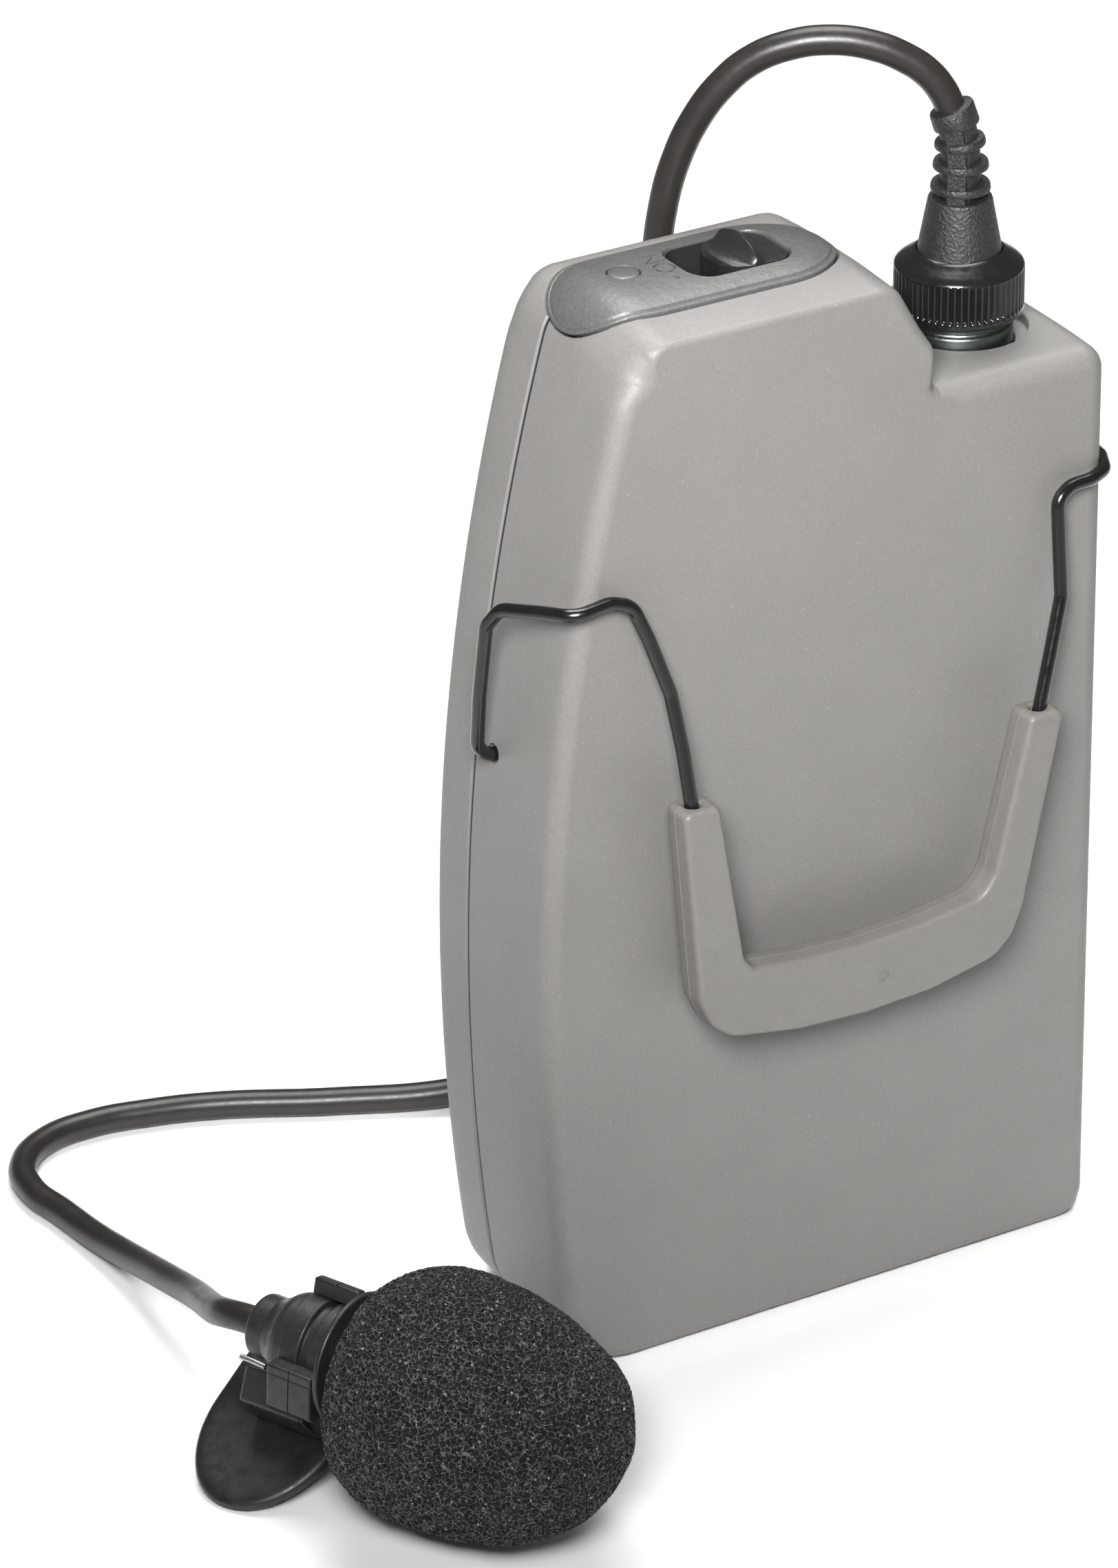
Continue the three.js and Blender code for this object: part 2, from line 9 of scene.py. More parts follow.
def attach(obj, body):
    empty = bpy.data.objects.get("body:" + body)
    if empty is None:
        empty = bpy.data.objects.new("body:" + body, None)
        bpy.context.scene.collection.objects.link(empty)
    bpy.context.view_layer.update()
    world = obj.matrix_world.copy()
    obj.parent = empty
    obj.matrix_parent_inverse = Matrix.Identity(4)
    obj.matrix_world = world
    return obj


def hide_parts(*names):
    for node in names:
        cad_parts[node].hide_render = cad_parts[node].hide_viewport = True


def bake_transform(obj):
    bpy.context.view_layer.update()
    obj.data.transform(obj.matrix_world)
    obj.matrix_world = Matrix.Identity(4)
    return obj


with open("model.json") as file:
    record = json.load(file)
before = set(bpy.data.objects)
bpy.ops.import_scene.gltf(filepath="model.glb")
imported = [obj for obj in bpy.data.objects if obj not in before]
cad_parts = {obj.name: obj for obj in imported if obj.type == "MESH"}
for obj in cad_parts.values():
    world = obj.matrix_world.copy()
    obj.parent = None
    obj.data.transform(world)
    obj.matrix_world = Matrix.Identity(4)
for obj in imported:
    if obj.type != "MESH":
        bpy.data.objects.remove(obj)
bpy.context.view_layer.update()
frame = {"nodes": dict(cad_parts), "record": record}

MM = 0.001


# ---- camera

CAMERA_AT = (-310.45, -500.40, 357.68)
CAMERA_AZIMUTH, CAMERA_ELEVATION, CAMERA_ROLL = 29.895, 27.441, -0.763
LENS_MM, SENSOR_MM = 158.37, 36.0


def make_camera():
    azimuth, elevation = math.radians(CAMERA_AZIMUTH), math.radians(CAMERA_ELEVATION)
    forward = Vector((
        math.sin(azimuth) * math.cos(elevation),
        math.cos(azimuth) * math.cos(elevation),
        -math.sin(elevation),
    ))
    right = Vector((math.cos(azimuth), -math.sin(azimuth), 0))
    up = right.cross(forward)
    turn = Matrix((right, up, -forward)).transposed()
    data = bpy.data.cameras.new("camera")
    data.lens, data.sensor_width = LENS_MM, SENSOR_MM
    data.clip_start, data.clip_end = 0.01, 50
    camera = bpy.data.objects.new("camera", data)
    roll = Matrix.Rotation(math.radians(CAMERA_ROLL), 3, "Z")
    camera.matrix_world = Matrix.Translation(Vector(CAMERA_AT) * MM) @ (turn @ roll).to_4x4()
    bpy.context.scene.collection.objects.link(camera)
    bpy.context.scene.camera = camera


# ---- materials

def tinted(color, factor):
    return [min(1.0, max(0.0, c * factor)) for c in color[:3]] + [1.0]


class Look:
    """A principled material whose colour, roughness and relief come from 3-D textures."""

    def __init__(self, name, color, roughness, metallic=0.0, specular=0.5):
        self.color = color
        self.mat = bpy.data.materials.new(name)
        self.mat.use_nodes = True
        self.nodes, self.links = self.mat.node_tree.nodes, self.mat.node_tree.links
        self.nodes.clear()
        output = self.nodes.new("ShaderNodeOutputMaterial")
        self.shader = self.nodes.new("ShaderNodeBsdfPrincipled")
        self.links.new(self.shader.outputs["BSDF"], output.inputs["Surface"])
        self.shader.inputs["Base Color"].default_value = tinted(color, 1)
        self.shader.inputs["Roughness"].default_value = roughness
        self.shader.inputs["Metallic"].default_value = metallic
        self.shader.inputs["Specular IOR Level"].default_value = specular
        self.place = self.nodes.new("ShaderNodeTexCoord").outputs["Object"]
        self.tint = None
        self.height = None

    def cloud(self, size, detail=3.0):
        """Noise from 0 to 1 with features of about size millimetres."""
        node = self.nodes.new("ShaderNodeTexNoise")
        node.inputs["Scale"].default_value = 1 / (size * MM)
        node.inputs["Detail"].default_value = detail
        node.inputs["Roughness"].default_value = 0.55
        self.links.new(self.place, node.inputs["Vector"])
        return node.outputs["Fac"]

    def cells(self, size, feature="F1"):
        node = self.nodes.new("ShaderNodeTexVoronoi")
        node.feature = feature
        node.inputs["Scale"].default_value = 1 / (size * MM)
        self.links.new(self.place, node.inputs["Vector"])
        return node.outputs["Distance"]

    def ramp(self, value, low, high, start=0.0, end=1.0):
        node = self.nodes.new("ShaderNodeMapRange")
        node.inputs["From Min"].default_value = low
        node.inputs["From Max"].default_value = high
        node.inputs["To Min"].default_value = start
        node.inputs["To Max"].default_value = end
        self.links.new(value, node.inputs["Value"])
        return node.outputs["Result"]

    def paint(self, mask, color):
        """Lays a colour over what is there, where the mask is 1."""
        node = self.nodes.new("ShaderNodeMix")
        node.data_type = "RGBA"
        below = next(s for s in node.inputs if s.identifier == "A_Color")
        above = next(s for s in node.inputs if s.identifier == "B_Color")
        if self.tint is None:
            below.default_value = tinted(self.color, 1)
        else:
            self.links.new(self.tint, below)
        above.default_value = tinted(color, 1)
        self.links.new(mask, node.inputs["Factor"])
        self.tint = next(s for s in node.outputs if s.identifier == "Result_Color")
        self.links.new(self.tint, self.shader.inputs["Base Color"])

    def mottle(self, size, amount):
        """Patches that are lighter and darker than the colour by amount."""
        value = self.cloud(size)
        self.paint(self.ramp(value, 0.3, 0.5, 1, 0), tinted(self.color, 1 - amount))
        self.paint(self.ramp(value, 0.5, 0.7, 0, 1), tinted(self.color, 1 + amount))

    def polish(self, value, low, high, rough, smooth):
        self.links.new(self.ramp(value, low, high, rough, smooth), self.shader.inputs["Roughness"])

    def relief(self, value, depth):
        """Adds a bump of depth millimetres."""
        node = self.nodes.new("ShaderNodeBump")
        node.inputs["Distance"].default_value = depth * MM
        self.links.new(value, node.inputs["Height"])
        if self.height is not None:
            self.links.new(self.height, node.inputs["Normal"])
        self.height = node.outputs["Normal"]
        self.links.new(self.height, self.shader.inputs["Normal"])


def moulded(name, color, roughness, grain=0.22, depth=0.012, mottle=0.05, specks=0.0):
    """Moulded plastic with a spark-eroded grain, faint clouding and a few pale specks."""
    look = Look(name, color, roughness)
    look.mottle(9.0, mottle)
    look.mottle(grain * 1.3, mottle * 1.6)
    if specks:
        look.paint(look.ramp(look.cells(1.7), 0.075, 0.05), tinted(color, 1 + specks))
    fine = look.cloud(grain, 4.0)
    look.polish(fine, 0.3, 0.7, roughness + 0.09, roughness - 0.07)
    look.relief(fine, depth)
    look.relief(look.cloud(grain * 5, 2.0), depth * 1.6)
    return look.mat


def plain(name, color, roughness, mottles, polish, relief, metallic=0.0, specular=0.5):
    """Any other surface. mottles holds (size, amount), polish (size, detail, low, high, rough,
    smooth) or None, and relief (size, detail, depth)."""
    look = Look(name, color, roughness, metallic, specular)
    for size, amount in mottles:
        look.mottle(size, amount)
    if polish:
        look.polish(look.cloud(*polish[:2]), *polish[2:])
    look.relief(look.cloud(*relief[:2]), relief[2])
    return look.mat


def metal(name, color, roughness):
    polish = (0.25, 3, 0.3, 0.7, roughness + 0.1, roughness - 0.06)
    return plain(name, color, roughness, [(1.5, 0.12)], polish, (0.25, 3, 0.004), metallic=1.0)


def mic_look(name, color, roughness):
    polish = (1.1, 4, 0.3, 0.7, roughness + 0.12, roughness - 0.12)
    return plain(name, color, roughness, [(2.2, 0.35), (0.3, 0.25)], polish, (0.2, 4, 0.018))


def foam_look():
    """Open-cell foam: paler strands, pores painted dark as shade in the holes, and pale glints painted on
    as highlights.
    """
    look = Look("foam", (0.15, 0.144, 0.135), 0.45, specular=0.5)
    pore = look.cells(0.6, "DISTANCE_TO_EDGE")
    small = look.cells(0.43, "DISTANCE_TO_EDGE")
    look.mottle(7.0, 0.12)
    # painted shade: the small and large pores are darkened as if shadowed inside
    look.paint(look.ramp(small, 0.04, 0.15), (0.014, 0.0133, 0.0124))
    look.paint(look.ramp(pore, 0.06, 0.17), (0.0032, 0.003, 0.0028))
    # painted highlight: pale glints on the strands
    painted_glint = look.ramp(look.cells(0.95), 0.17, 0.09)
    look.paint(painted_glint, (0.34, 0.33, 0.31))
    look.polish(pore, 0.02, 0.16, 0.3, 0.95)
    look.relief(look.ramp(small, 0.0, 0.3, 1, 0), 0.25)
    look.relief(look.ramp(pore, 0.0, 0.3, 1, 0), 0.35)
    return look.mat


CASE_COLOR = (0.174, 0.1685, 0.16)
CAP_COLOR = (0.084, 0.084, 0.082)
LOOKS = {
    "case_plastic": moulded("case_plastic", CASE_COLOR, 0.5, 0.24, 0.010, 0.045, specks=0.3),
    "cap_plastic": moulded("cap_plastic", CAP_COLOR, 0.38, 0.34, 0.034, 0.07, specks=0.5),
    "yoke_plastic": moulded("yoke_plastic", (0.168, 0.162, 0.149), 0.44, 0.5, 0.006, 0.03, 0.1),
    "switch_plastic": moulded("switch_plastic", (0.014, 0.014, 0.015), 0.32, 0.3, 0.006, 0.08),
    "tray_plastic": moulded("tray_plastic", (0.015, 0.015, 0.016), 0.5),
    "lens": moulded("lens", CAP_COLOR, 0.3, 0.3, 0.012, 0.05),
    "led_resin": moulded("led_resin", (0.35, 0.08, 0.06), 0.2, 0.5, 0.004, 0.05),
    "connector_metal": metal("connector_metal", (0.17, 0.19, 0.172), 0.36),
    "nickel": metal("nickel", (0.55, 0.53, 0.49), 0.28),
    "steel": metal("steel", (0.42, 0.43, 0.45), 0.34),
    "ring_plastic": plain(
        "ring_plastic", (0.0075, 0.0075, 0.0085), 0.17, [(1.4, 0.2)],
        (0.9, 4, 0.3, 0.75, 0.14, 0.26), (1.6, 2, 0.012), specular=0.6),
    "boot_rubber": plain(
        "boot_rubber", (0.013, 0.0125, 0.0118), 0.42, [(0.5, 0.25)],
        (0.3, 3, 0.35, 0.7, 0.6, 0.36), (0.3, 3, 0.13), specular=0.6),
    "cord_jacket": plain(
        "cord_jacket", (0.018, 0.016, 0.0144), 0.36, [(2.5, 0.12)],
        (0.7, 4, 0.3, 0.7, 0.4, 0.31), (0.35, 3, 0.006), specular=0.42),
    "clip_wire": plain(
        "clip_wire", (0.006, 0.006, 0.0065), 0.16, [(1.2, 0.2)],
        (1.1, 4, 0.3, 0.75, 0.13, 0.27), (0.8, 3, 0.006), specular=0.7),
    "board_laminate": plain(
        "board_laminate", (0.02, 0.10, 0.04), 0.35, [(3.0, 0.3)], None, (1.2, 3, 0.02)),
    "cell_jacket": plain(
        "cell_jacket", (0.05, 0.07, 0.11), 0.3, [(6.0, 0.15)], None, (0.8, 3, 0.01), metallic=0.5),
    "mic_plastic": mic_look("mic_plastic", (0.017, 0.0168, 0.0165), 0.42),
    "clip_plastic": mic_look("clip_plastic", (0.013, 0.0128, 0.0128), 0.4),
    "foam": foam_look(),
}


# ---- mesh helpers

def new_object(name, points, faces):
    mesh = bpy.data.meshes.new(name)
    mesh.from_pydata([Vector(p) * MM for p in points], [], faces)
    mesh.validate()
    obj = bpy.data.objects.new(name, mesh)
    bpy.context.scene.collection.objects.link(obj)
    return obj


def baked(obj):
    """Applies what the object's modifiers do, and returns it."""
    bpy.context.view_layer.update()
    graph = bpy.context.evaluated_depsgraph_get()
    mesh = bpy.data.meshes.new_from_object(obj.evaluated_get(graph))
    if obj.type == "CURVE":
        name = obj.name
        bpy.data.objects.remove(obj)
        obj = bpy.data.objects.new(name, mesh)
        bpy.context.scene.collection.objects.link(obj)
    else:
        obj.modifiers.clear()
        obj.data = mesh
    return obj


def shade(obj, angle=32):
    obj.data.shade_smooth()
    obj.data.set_sharp_from_angle(angle=math.radians(angle))
    return obj


WELD = 0.0004  # vertices nearer than this are one


def tidy_mesh(obj):
    """Welds doubled vertices and turns every face outward."""
    work = bmesh.new()
    work.from_mesh(obj.data)
    bmesh.ops.remove_doubles(work, verts=work.verts, dist=WELD * MM)
    bmesh.ops.recalc_face_normals(work, faces=work.faces)
    work.to_mesh(obj.data)
    work.free()
    return obj


def carve(obj, *cutters, operation="DIFFERENCE"):
    for cutter in cutters:
        modifier = obj.modifiers.new("cut", "BOOLEAN")
        modifier.operation, modifier.solver, modifier.object = operation, "EXACT", cutter
    baked(obj)
    for cutter in cutters:
        bpy.data.objects.remove(cutter)
    return obj


def finished(obj, body, slot, *nodes, angle=32):
    shade(obj, angle)
    modifier = obj.modifiers.new("flat faces", "WEIGHTED_NORMAL")
    modifier.keep_sharp, modifier.weight = True, 90
    return dressed(obj, body, slot, *nodes)


def dressed(obj, body, slot, *nodes):
    obj.data.materials.clear()
    obj.data.materials.append(LOOKS[slot])
    if body:
        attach(obj, body)
    if nodes:
        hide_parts(*nodes)
    return obj


def arc(centre, radius, start, end, steps):
    """Points on a circle's arc, angles in degrees."""
    angles = [math.radians(start + (end - start) * i / steps) for i in range(steps + 1)]
    return [(centre[0] + radius * math.cos(a), centre[1] + radius * math.sin(a)) for a in angles]


def rounded(points, radius, steps=4, closed=True):
    """A 2-D outline with each corner turned into an arc. radius is a number or one per corner."""
    radii = radius if isinstance(radius, (list, tuple)) else [radius] * len(points)
    made = []
    for index, here in enumerate(points):
        here = Vector(here)
        if not closed and index in (0, len(points) - 1) or radii[index] <= 0:
            made.append(tuple(here))
            continue
        before = Vector(points[index - 1]) - here
        after = Vector(points[(index + 1) % len(points)]) - here
        half = before.angle(after) / 2
        if half > math.radians(88):
            made.append(tuple(here))
            continue
        reach = min(radii[index] / math.tan(half), 0.48 * before.length, 0.48 * after.length)
        size = reach * math.tan(half)
        middle = here + (before.normalized() + after.normalized()).normalized() * size / math.sin(half)
        first = here + before.normalized() * reach - middle
        last = here + after.normalized() * reach - middle
        for step in range(steps + 1):
            made.append(tuple(middle + first.slerp(last, step / steps, first) * size))
    return made


def placed(points, matrix):
    return [tuple(matrix @ Vector(p)) for p in points] if matrix is not None else points


def lathe(name, profile, segments, matrix=None, wave=None):
    """Turns [radius, height] pairs about Z. wave(radius, height, angle) may change the radius."""
    points, rings = [], []
    for radius, height in profile:
        if radius < 1e-6:
            rings.append([len(points)])
            points.append((0, 0, height))
            continue
        rings.append(list(range(len(points), len(points) + segments)))
        for i in range(segments):
            angle = 2 * math.pi * i / segments
            r = wave(radius, height, angle) if wave else radius
            points.append((r * math.cos(angle), r * math.sin(angle), height))
    faces = []
    for low, high in zip(rings, rings[1:]):
        for i in range(segments):
            j = (i + 1) % segments
            if len(low) == 1:
                faces.append((low[0], high[j], high[i]))
            elif len(high) == 1:
                faces.append((low[i], low[j], high[0]))
            else:
                faces.append((low[i], low[j], high[j], high[i]))
    obj = new_object(name, placed(points, matrix), faces)
    return tidy_mesh(obj)


def loft(name, rings, matrix=None, hollow=False):
    """Joins rings of equally many points, and closes both ends unless it is hollow."""
    count = len(rings[0])
    points = [p for ring in rings for p in ring]
    last = len(points) - count
    faces = [] if hollow else [tuple(range(count))[::-1], tuple(range(last, last + count))]
    for low in range(0, len(points) - count, count):
        for i in range(count):
            j = (i + 1) % count
            faces.append((low + i, low + j, low + count + j, low + count + i))
    return tidy_mesh(new_object(name, placed(points, matrix), faces))


def along_y(outline, y):
    return [(x, y, z) for x, z in outline]


def along_z(outline, z):
    return [(x, y, z) for x, y in outline]


def slab(name, outline, low, high, along=along_y):
    return loft(name, [along(outline, low), along(outline, high)])


def bevelled(obj, width, segments=3, angle=30):
    modifier = obj.modifiers.new("edges", "BEVEL")
    modifier.width, modifier.segments = width * MM, segments
    modifier.limit_method, modifier.angle_limit = "ANGLE", math.radians(angle)
    modifier.use_clamp_overlap = True
    return baked(obj)


def cylinder(name, radius, low, high, matrix=None, segments=48):
    return lathe(name, [(0, low), (radius, low), (radius, high), (0, high)], segments, matrix)


def curve_object(name, kind, count, radius, sides):
    """An empty round wire of count knots, and the spline that takes them."""
    data = bpy.data.curves.new(name, "CURVE")
    data.dimensions, data.use_fill_caps = "3D", True
    data.bevel_depth, data.bevel_resolution = radius * MM, sides
    spline = data.splines.new(kind)
    (spline.bezier_points if kind == "BEZIER" else spline.points).add(count - 1)
    obj = bpy.data.objects.new(name, data)
    bpy.context.scene.collection.objects.link(obj)
    return obj, spline


def stepped(name, outline, steps, along=along_y, hollow=False):
    """A loft of one outline, moved in and placed by each [inset, level] step."""
    rings = [along(moved_in(outline, inset), level) for inset, level in steps]
    return loft(name, rings, hollow=hollow)


def wire(name, points, radius, resolution, sides):
    obj, spline = curve_object(name, "BEZIER", len(points), radius, sides)
    obj.data.resolution_u = resolution
    for knot, point in zip(spline.bezier_points, points):
        knot.co = Vector(point) * MM
        knot.handle_left_type = knot.handle_right_type = "AUTO"
    return obj


ALONG_X = Matrix.Rotation(math.pi / 2, 4, "Y")
ALONG_Y = Matrix.Rotation(-math.pi / 2, 4, "X")


def at(x, y, z, turn=None):
    place = Matrix.Translation((x, y, z))
    return place @ turn if turn is not None else place


# ---- cord

CORD_RADIUS = 1.45
BOOT_END = (20.69, -0.39, 115.47)
CORD_RISE = [
    (20.17, -0.09, 117.37), (19.35, 0.38, 119.3), (18.2, 1.1, 120.9), (16.6, 2.1, 122.2),
    (14.2, 3.6, 123.4), (10.7, 5.8, 124.0), (7.2, 8.0, 123.4), (4.4, 9.8, 121.9),
    (2.2, 11.2, 119.6), (0.2, 12.5, 116.3), (-1.4, 13.5, 112.2), (-2.4, 14.3, 107.4),
    (-3.0, 14.9, 100.0), (-3.2, 15.3, 86.0), (-3.2, 15.6, 66.0), (-3.1, 16.0, 46.0),
    (-2.9, 16.5, 27.0), (-2.5, 17.6, 15.0), (-1.7, 20.4, 6.2), (-0.6, 25.4, 2.2),
    (0.6, 32.0, 1.5), (2.2, 39.6, 1.5), (3.0, 47.0, 1.5),
]
CORD_RUN = [
    (16.0, 27.6, 4.8), (8.5, 30.8, 4.9), (1.0, 34.0, 4.9), (-6.0, 36.9, 3.6),
    (-13.0, 39.8, 2.0), (-24.0, 45.2, 1.5), (-35.1, 50.9, 1.5), (-41.6, 53.1, 1.5),
    (-47.4, 54.2, 1.5), (-53.0, 53.5, 1.5), (-57.2, 50.2, 1.5), (-58.6, 45.4, 1.5),
    (-57.9, 39.6, 1.5), (-57.4, 33.6, 1.8), (-57.2, 27.3, 2.9), (-57.5, 18.8, 5.1),
    (-58.3, 9.8, 7.8), (-59.8, 4.0, 10.2), (-60.8, 0.2, 11.9), (-61.0, -2.4, 13.0),
    (-60.4, -4.9, 13.6),
]
SLEEVE_END = (-59.1, -7.8, 13.7)
COIL_CENTRE = (24.0, 47.0)
COIL_OUTER, COIL_INNER = 21.0, 12.0
COIL_LAYERS = (1.5, 4.5)
COIL_START, COIL_LEAVE = 180.0, 247.6
WHOLE_TURNS, POINTS_PER_TURN = 5, 14


def coil_points():
    """Two flat layers wound clockwise: inwards on the ground, then outwards on top of it."""
    total = WHOLE_TURNS * 360 + (COIL_START - COIL_LEAVE) % 360
    steps = round(total / 360 * POINTS_PER_TURN)
    points = []
    for i in range(1, steps):
        part = 2 * i / steps
        inward = part if part < 1 else 2 - part
        radius = COIL_OUTER + (COIL_INNER - COIL_OUTER) * inward
        rise = min(1.0, max(0.0, (part - 0.88) / 0.24))
        height = COIL_LAYERS[0] + (COIL_LAYERS[1] - COIL_LAYERS[0]) * rise
        angle = math.radians(COIL_START - total * i / steps)
        points.append((
            COIL_CENTRE[0] + radius * math.cos(angle),
            COIL_CENTRE[1] + radius * math.sin(angle),
            height,
        ))
    return points


def make_cord():
    route = [BOOT_END, *CORD_RISE, *coil_points(), *CORD_RUN, SLEEVE_END]
    cord = wire("cord", route, CORD_RADIUS, resolution=12, sides=5)
    dressed(cord, "pack", "cord_jacket", "cord_rise", "cord_coil", "cord_run")


# ---- case outline

PACK_FRONT, PACK_BACK = -11.5, 11.5
PACK_RIGHT = 31.5
PARTING = 2.8
HALF_SEAM = 0.25
WALL = 1.8
CROWN, PLATFORM = 107.0, 95.0
BULGE, WAIST = 235.0, 38.0
BULGE_X = BULGE - PACK_RIGHT
CROWN_WALL = 11.8
SHOULDER = (4.9, 102.9, 4.1)  # centre and radius of the crown's right corner
SLANT = 29.0  # how far the normal of the slope below that corner is above level
SLANT_BEND = 2.6  # radius where that slope meets the upright wall
TOP_LEFT, BOTTOM_LEFT = 5.5, 8.0


def on_bulge(radius, z):
    """Centre of a corner that runs into the curved left side, and the normal's angle there."""
    dz = z - WAIST
    dx = math.sqrt((BULGE - radius) ** 2 - dz ** 2)
    return BULGE_X - dx, z, 180 - math.degrees(math.atan2(dz, dx))


def case_outline():
    """The case seen from the front, counter-clockwise from the base: points, each with its side."""
    left_x, left_z, left_turn = on_bulge(TOP_LEFT, CROWN - TOP_LEFT)
    foot_x, foot_z, foot_turn = on_bulge(BOTTOM_LEFT, BOTTOM_LEFT)
    x0, z0, radius = SHOULDER
    normal = (math.cos(math.radians(SLANT)), math.sin(math.radians(SLANT)))
    reach = normal[0] * x0 + normal[1] * z0 + radius
    bend_x = CROWN_WALL - SLANT_BEND
    bend_z = (reach - SLANT_BEND - normal[0] * bend_x) / normal[1]
    parts = [
        ("bottom", [(foot_x, 0)]),
        ("bottom", arc((28, 3.5), 3.5, -90, -45, 6)),
        ("right", arc((28, 3.5), 3.5, -45, 0, 6)),
        ("right", arc((28.8, 92.3), 2.7, 0, 45, 6)),
        ("platform", arc((28.8, 92.3), 2.7, 45, 90, 6)),
        ("platform", [(CROWN_WALL + 0.5, PLATFORM)]),
        ("wall", arc((CROWN_WALL + 0.4, PLATFORM + 0.4), 0.4, 270, 180, 5)),
        ("wall", arc((bend_x, bend_z), SLANT_BEND, 0, SLANT, 5)),
        ("slant", arc((x0, z0), radius, SLANT, 60, 8)),
        ("top", arc((x0, z0), radius, 60, 90, 8)),
        ("top", arc((left_x, left_z), TOP_LEFT, 90, 120, 8)),
        ("corner", arc((left_x, left_z), TOP_LEFT, 120, left_turn, 12)),
        ("left", arc((BULGE_X, WAIST), BULGE, left_turn, foot_turn, 56)),
        ("left", arc((foot_x, foot_z), BOTTOM_LEFT, foot_turn, 225, 10)),
        ("bottom", arc((foot_x, foot_z), BOTTOM_LEFT, 225, 270, 10)),
    ]
    points, sides = [], []
    for side, stretch in parts:
        for point in stretch:
            if points:
                last = Vector(points[-1])
                gap = (Vector(point) - last).length
                if gap < 0.02:
                    continue
                for step in range(1, math.ceil(gap / 2.2)):
                    points.append(tuple(last.lerp(Vector(point), step / math.ceil(gap / 2.2))))
                    sides.append(side)
            points.append(point)
            sides.append(side)
    if (Vector(points[0]) - Vector(points[-1])).length < 0.02:
        points.pop()
        sides.pop()
    return points, sides


def normals(points):
    """Outward unit normal at each point of a counter-clockwise outline."""
    made = []
    for i, here in enumerate(points):
        here = Vector(here)
        before = (here - Vector(points[i - 1])).normalized()
        after = (Vector(points[(i + 1) % len(points)]) - here).normalized()
        along = (before + after).normalized()
        made.append(Vector((along[1], -along[0])))
    return made


def moved_in(points, inset):
    """The outline moved inwards by inset, a number or one per point."""
    each = inset if isinstance(inset, list) else [inset] * len(points)
    return [(p[0] - n[0] * d, p[1] - n[1] * d) for p, n, d in zip(points, normals(points), each)]


# How each side runs into the face: how far the side leans in, how far from the parting line
# the lean starts, its power, and the radius of the edge itself.
FRONT_EDGE = {
    "left": (0.55, 2.0, 2.4, 1.7), "corner": (1.2, 3.0, 2.0, 2.6), "top": (0.9, 8.0, 1.6, 0.45),
    "slant": (0.35, 2.0, 2.0, 1.3), "wall": (0.2, 2.0, 2.0, 0.8), "platform": (0.3, 2.0, 2.0, 2.2),
    "right": (0.5, 2.0, 2.0, 2.0), "bottom": (0.2, 2.0, 2.0, 1.2),
}
BACK_EDGE = {
    "left": (0.4, 1.5, 2.0, 4.0), "corner": (0.4, 1.5, 2.0, 4.7), "top": (0.3, 4.0, 2.0, 3.6),
    "slant": (1.0, 1.0, 1.3, 2.5), "wall": (0.0, 2.0, 2.0, 0.9), "platform": (0.0, 2.0, 2.0, 0.7),
    "right": (0.4, 1.5, 2.0, 2.8), "bottom": (0.2, 2.0, 2.0, 2.2),
}
EDGE_BLEND = 3.0  # over this length one side's edge turns into the next one's


def edge_values(points, sides, table):
    """Each point's edge values, averaged over its neighbourhood along the outline."""
    count = len(points)
    lengths = [(Vector(points[i]) - Vector(points[i - 1])).length for i in range(count)]
    values = []
    for i in range(count):
        total, weight = [0.0] * 4, 0.0
        for step in (1, -1):
            j, way = i, 0.0
            while way < EDGE_BLEND:
                share = (1 - way / EDGE_BLEND) * (lengths[j] + lengths[(j + 1) % count]) / 2
                total = [t + v * share for t, v in zip(total, table[sides[j]])]
                weight += share
                way += lengths[(j + 1) % count] if step > 0 else lengths[j]
                j = (j + step) % count
        values.append([t / weight for t in total])
    return values


EDGE_LEVELS = (
    0, 0.01, 0.03, 0.06, 0.1, 0.16, 0.25, 0.38, 0.55, 0.8, 1.1, 1.5, 2, 2.7, 3.5, 4.5, 6, 7.6,
)
INNER_LIMIT = 2.6


def case_half(name, face, rim, table, lip):
    """One shell: an open tray whose wall ends at the rim with a lip of [inset, y] steps."""
    points, sides = case_outline()
    values = edge_values(points, sides, table)
    depth = abs(rim - face)
    inward = 1 if rim > face else -1

    def insets(distance):
        made = []
        for drop, start, power, radius in values:
            part = max(0.0, (depth - distance - start) / (depth - start))
            corner = 0.0
            if distance < radius:
                corner = radius - math.sqrt(radius ** 2 - (radius - distance) ** 2)
            made.append(drop * part ** power + corner)
        return made

    levels = [d for d in EDGE_LEVELS if d < depth - 1.5] + [depth - HALF_SEAM]
    rings = [along_y(moved_in(points, insets(d)), face + inward * d) for d in levels]
    rings += [along_y(moved_in(points, inset), y) for inset, y in lip]
    lip_end = abs(lip[-1][1] - face)
    for distance in (lip_end, 0.7 * lip_end, 3.4, 2.6, WALL):
        inner = [min(INNER_LIMIT, i + WALL) for i in insets(distance)]
        rings.append(along_y(moved_in(points, inner), face + inward * distance))
    return loft(name, rings)


# ---- case

CAP_Y, CAP_HALF, CAP_PROUD = 0.2, 7.0, 1.2
CAP_LEFT, CAP_RIGHT = -5.8, 23.9  # along the crown from its top-left corner
CAP_END = 8.0  # length of its round ends
CAP_STEPS = 22
JACK = (21.1, -0.6)
LEG_HOLE = (-0.5, 63.4)
SCREWS = ((-24.5, 9.5), (25.5, 9.5), (-20.8, 88.0), (26.0, 81.0))
DOOR = {"half": 18.7, "low": 10.3, "high": 61.7, "inside": 10.05}
SHELL_ANGLE = 28  # edges of the shells sharper than this, in degrees, stay sharp
POCKET_GAP = 0.25  # between the cap and the case


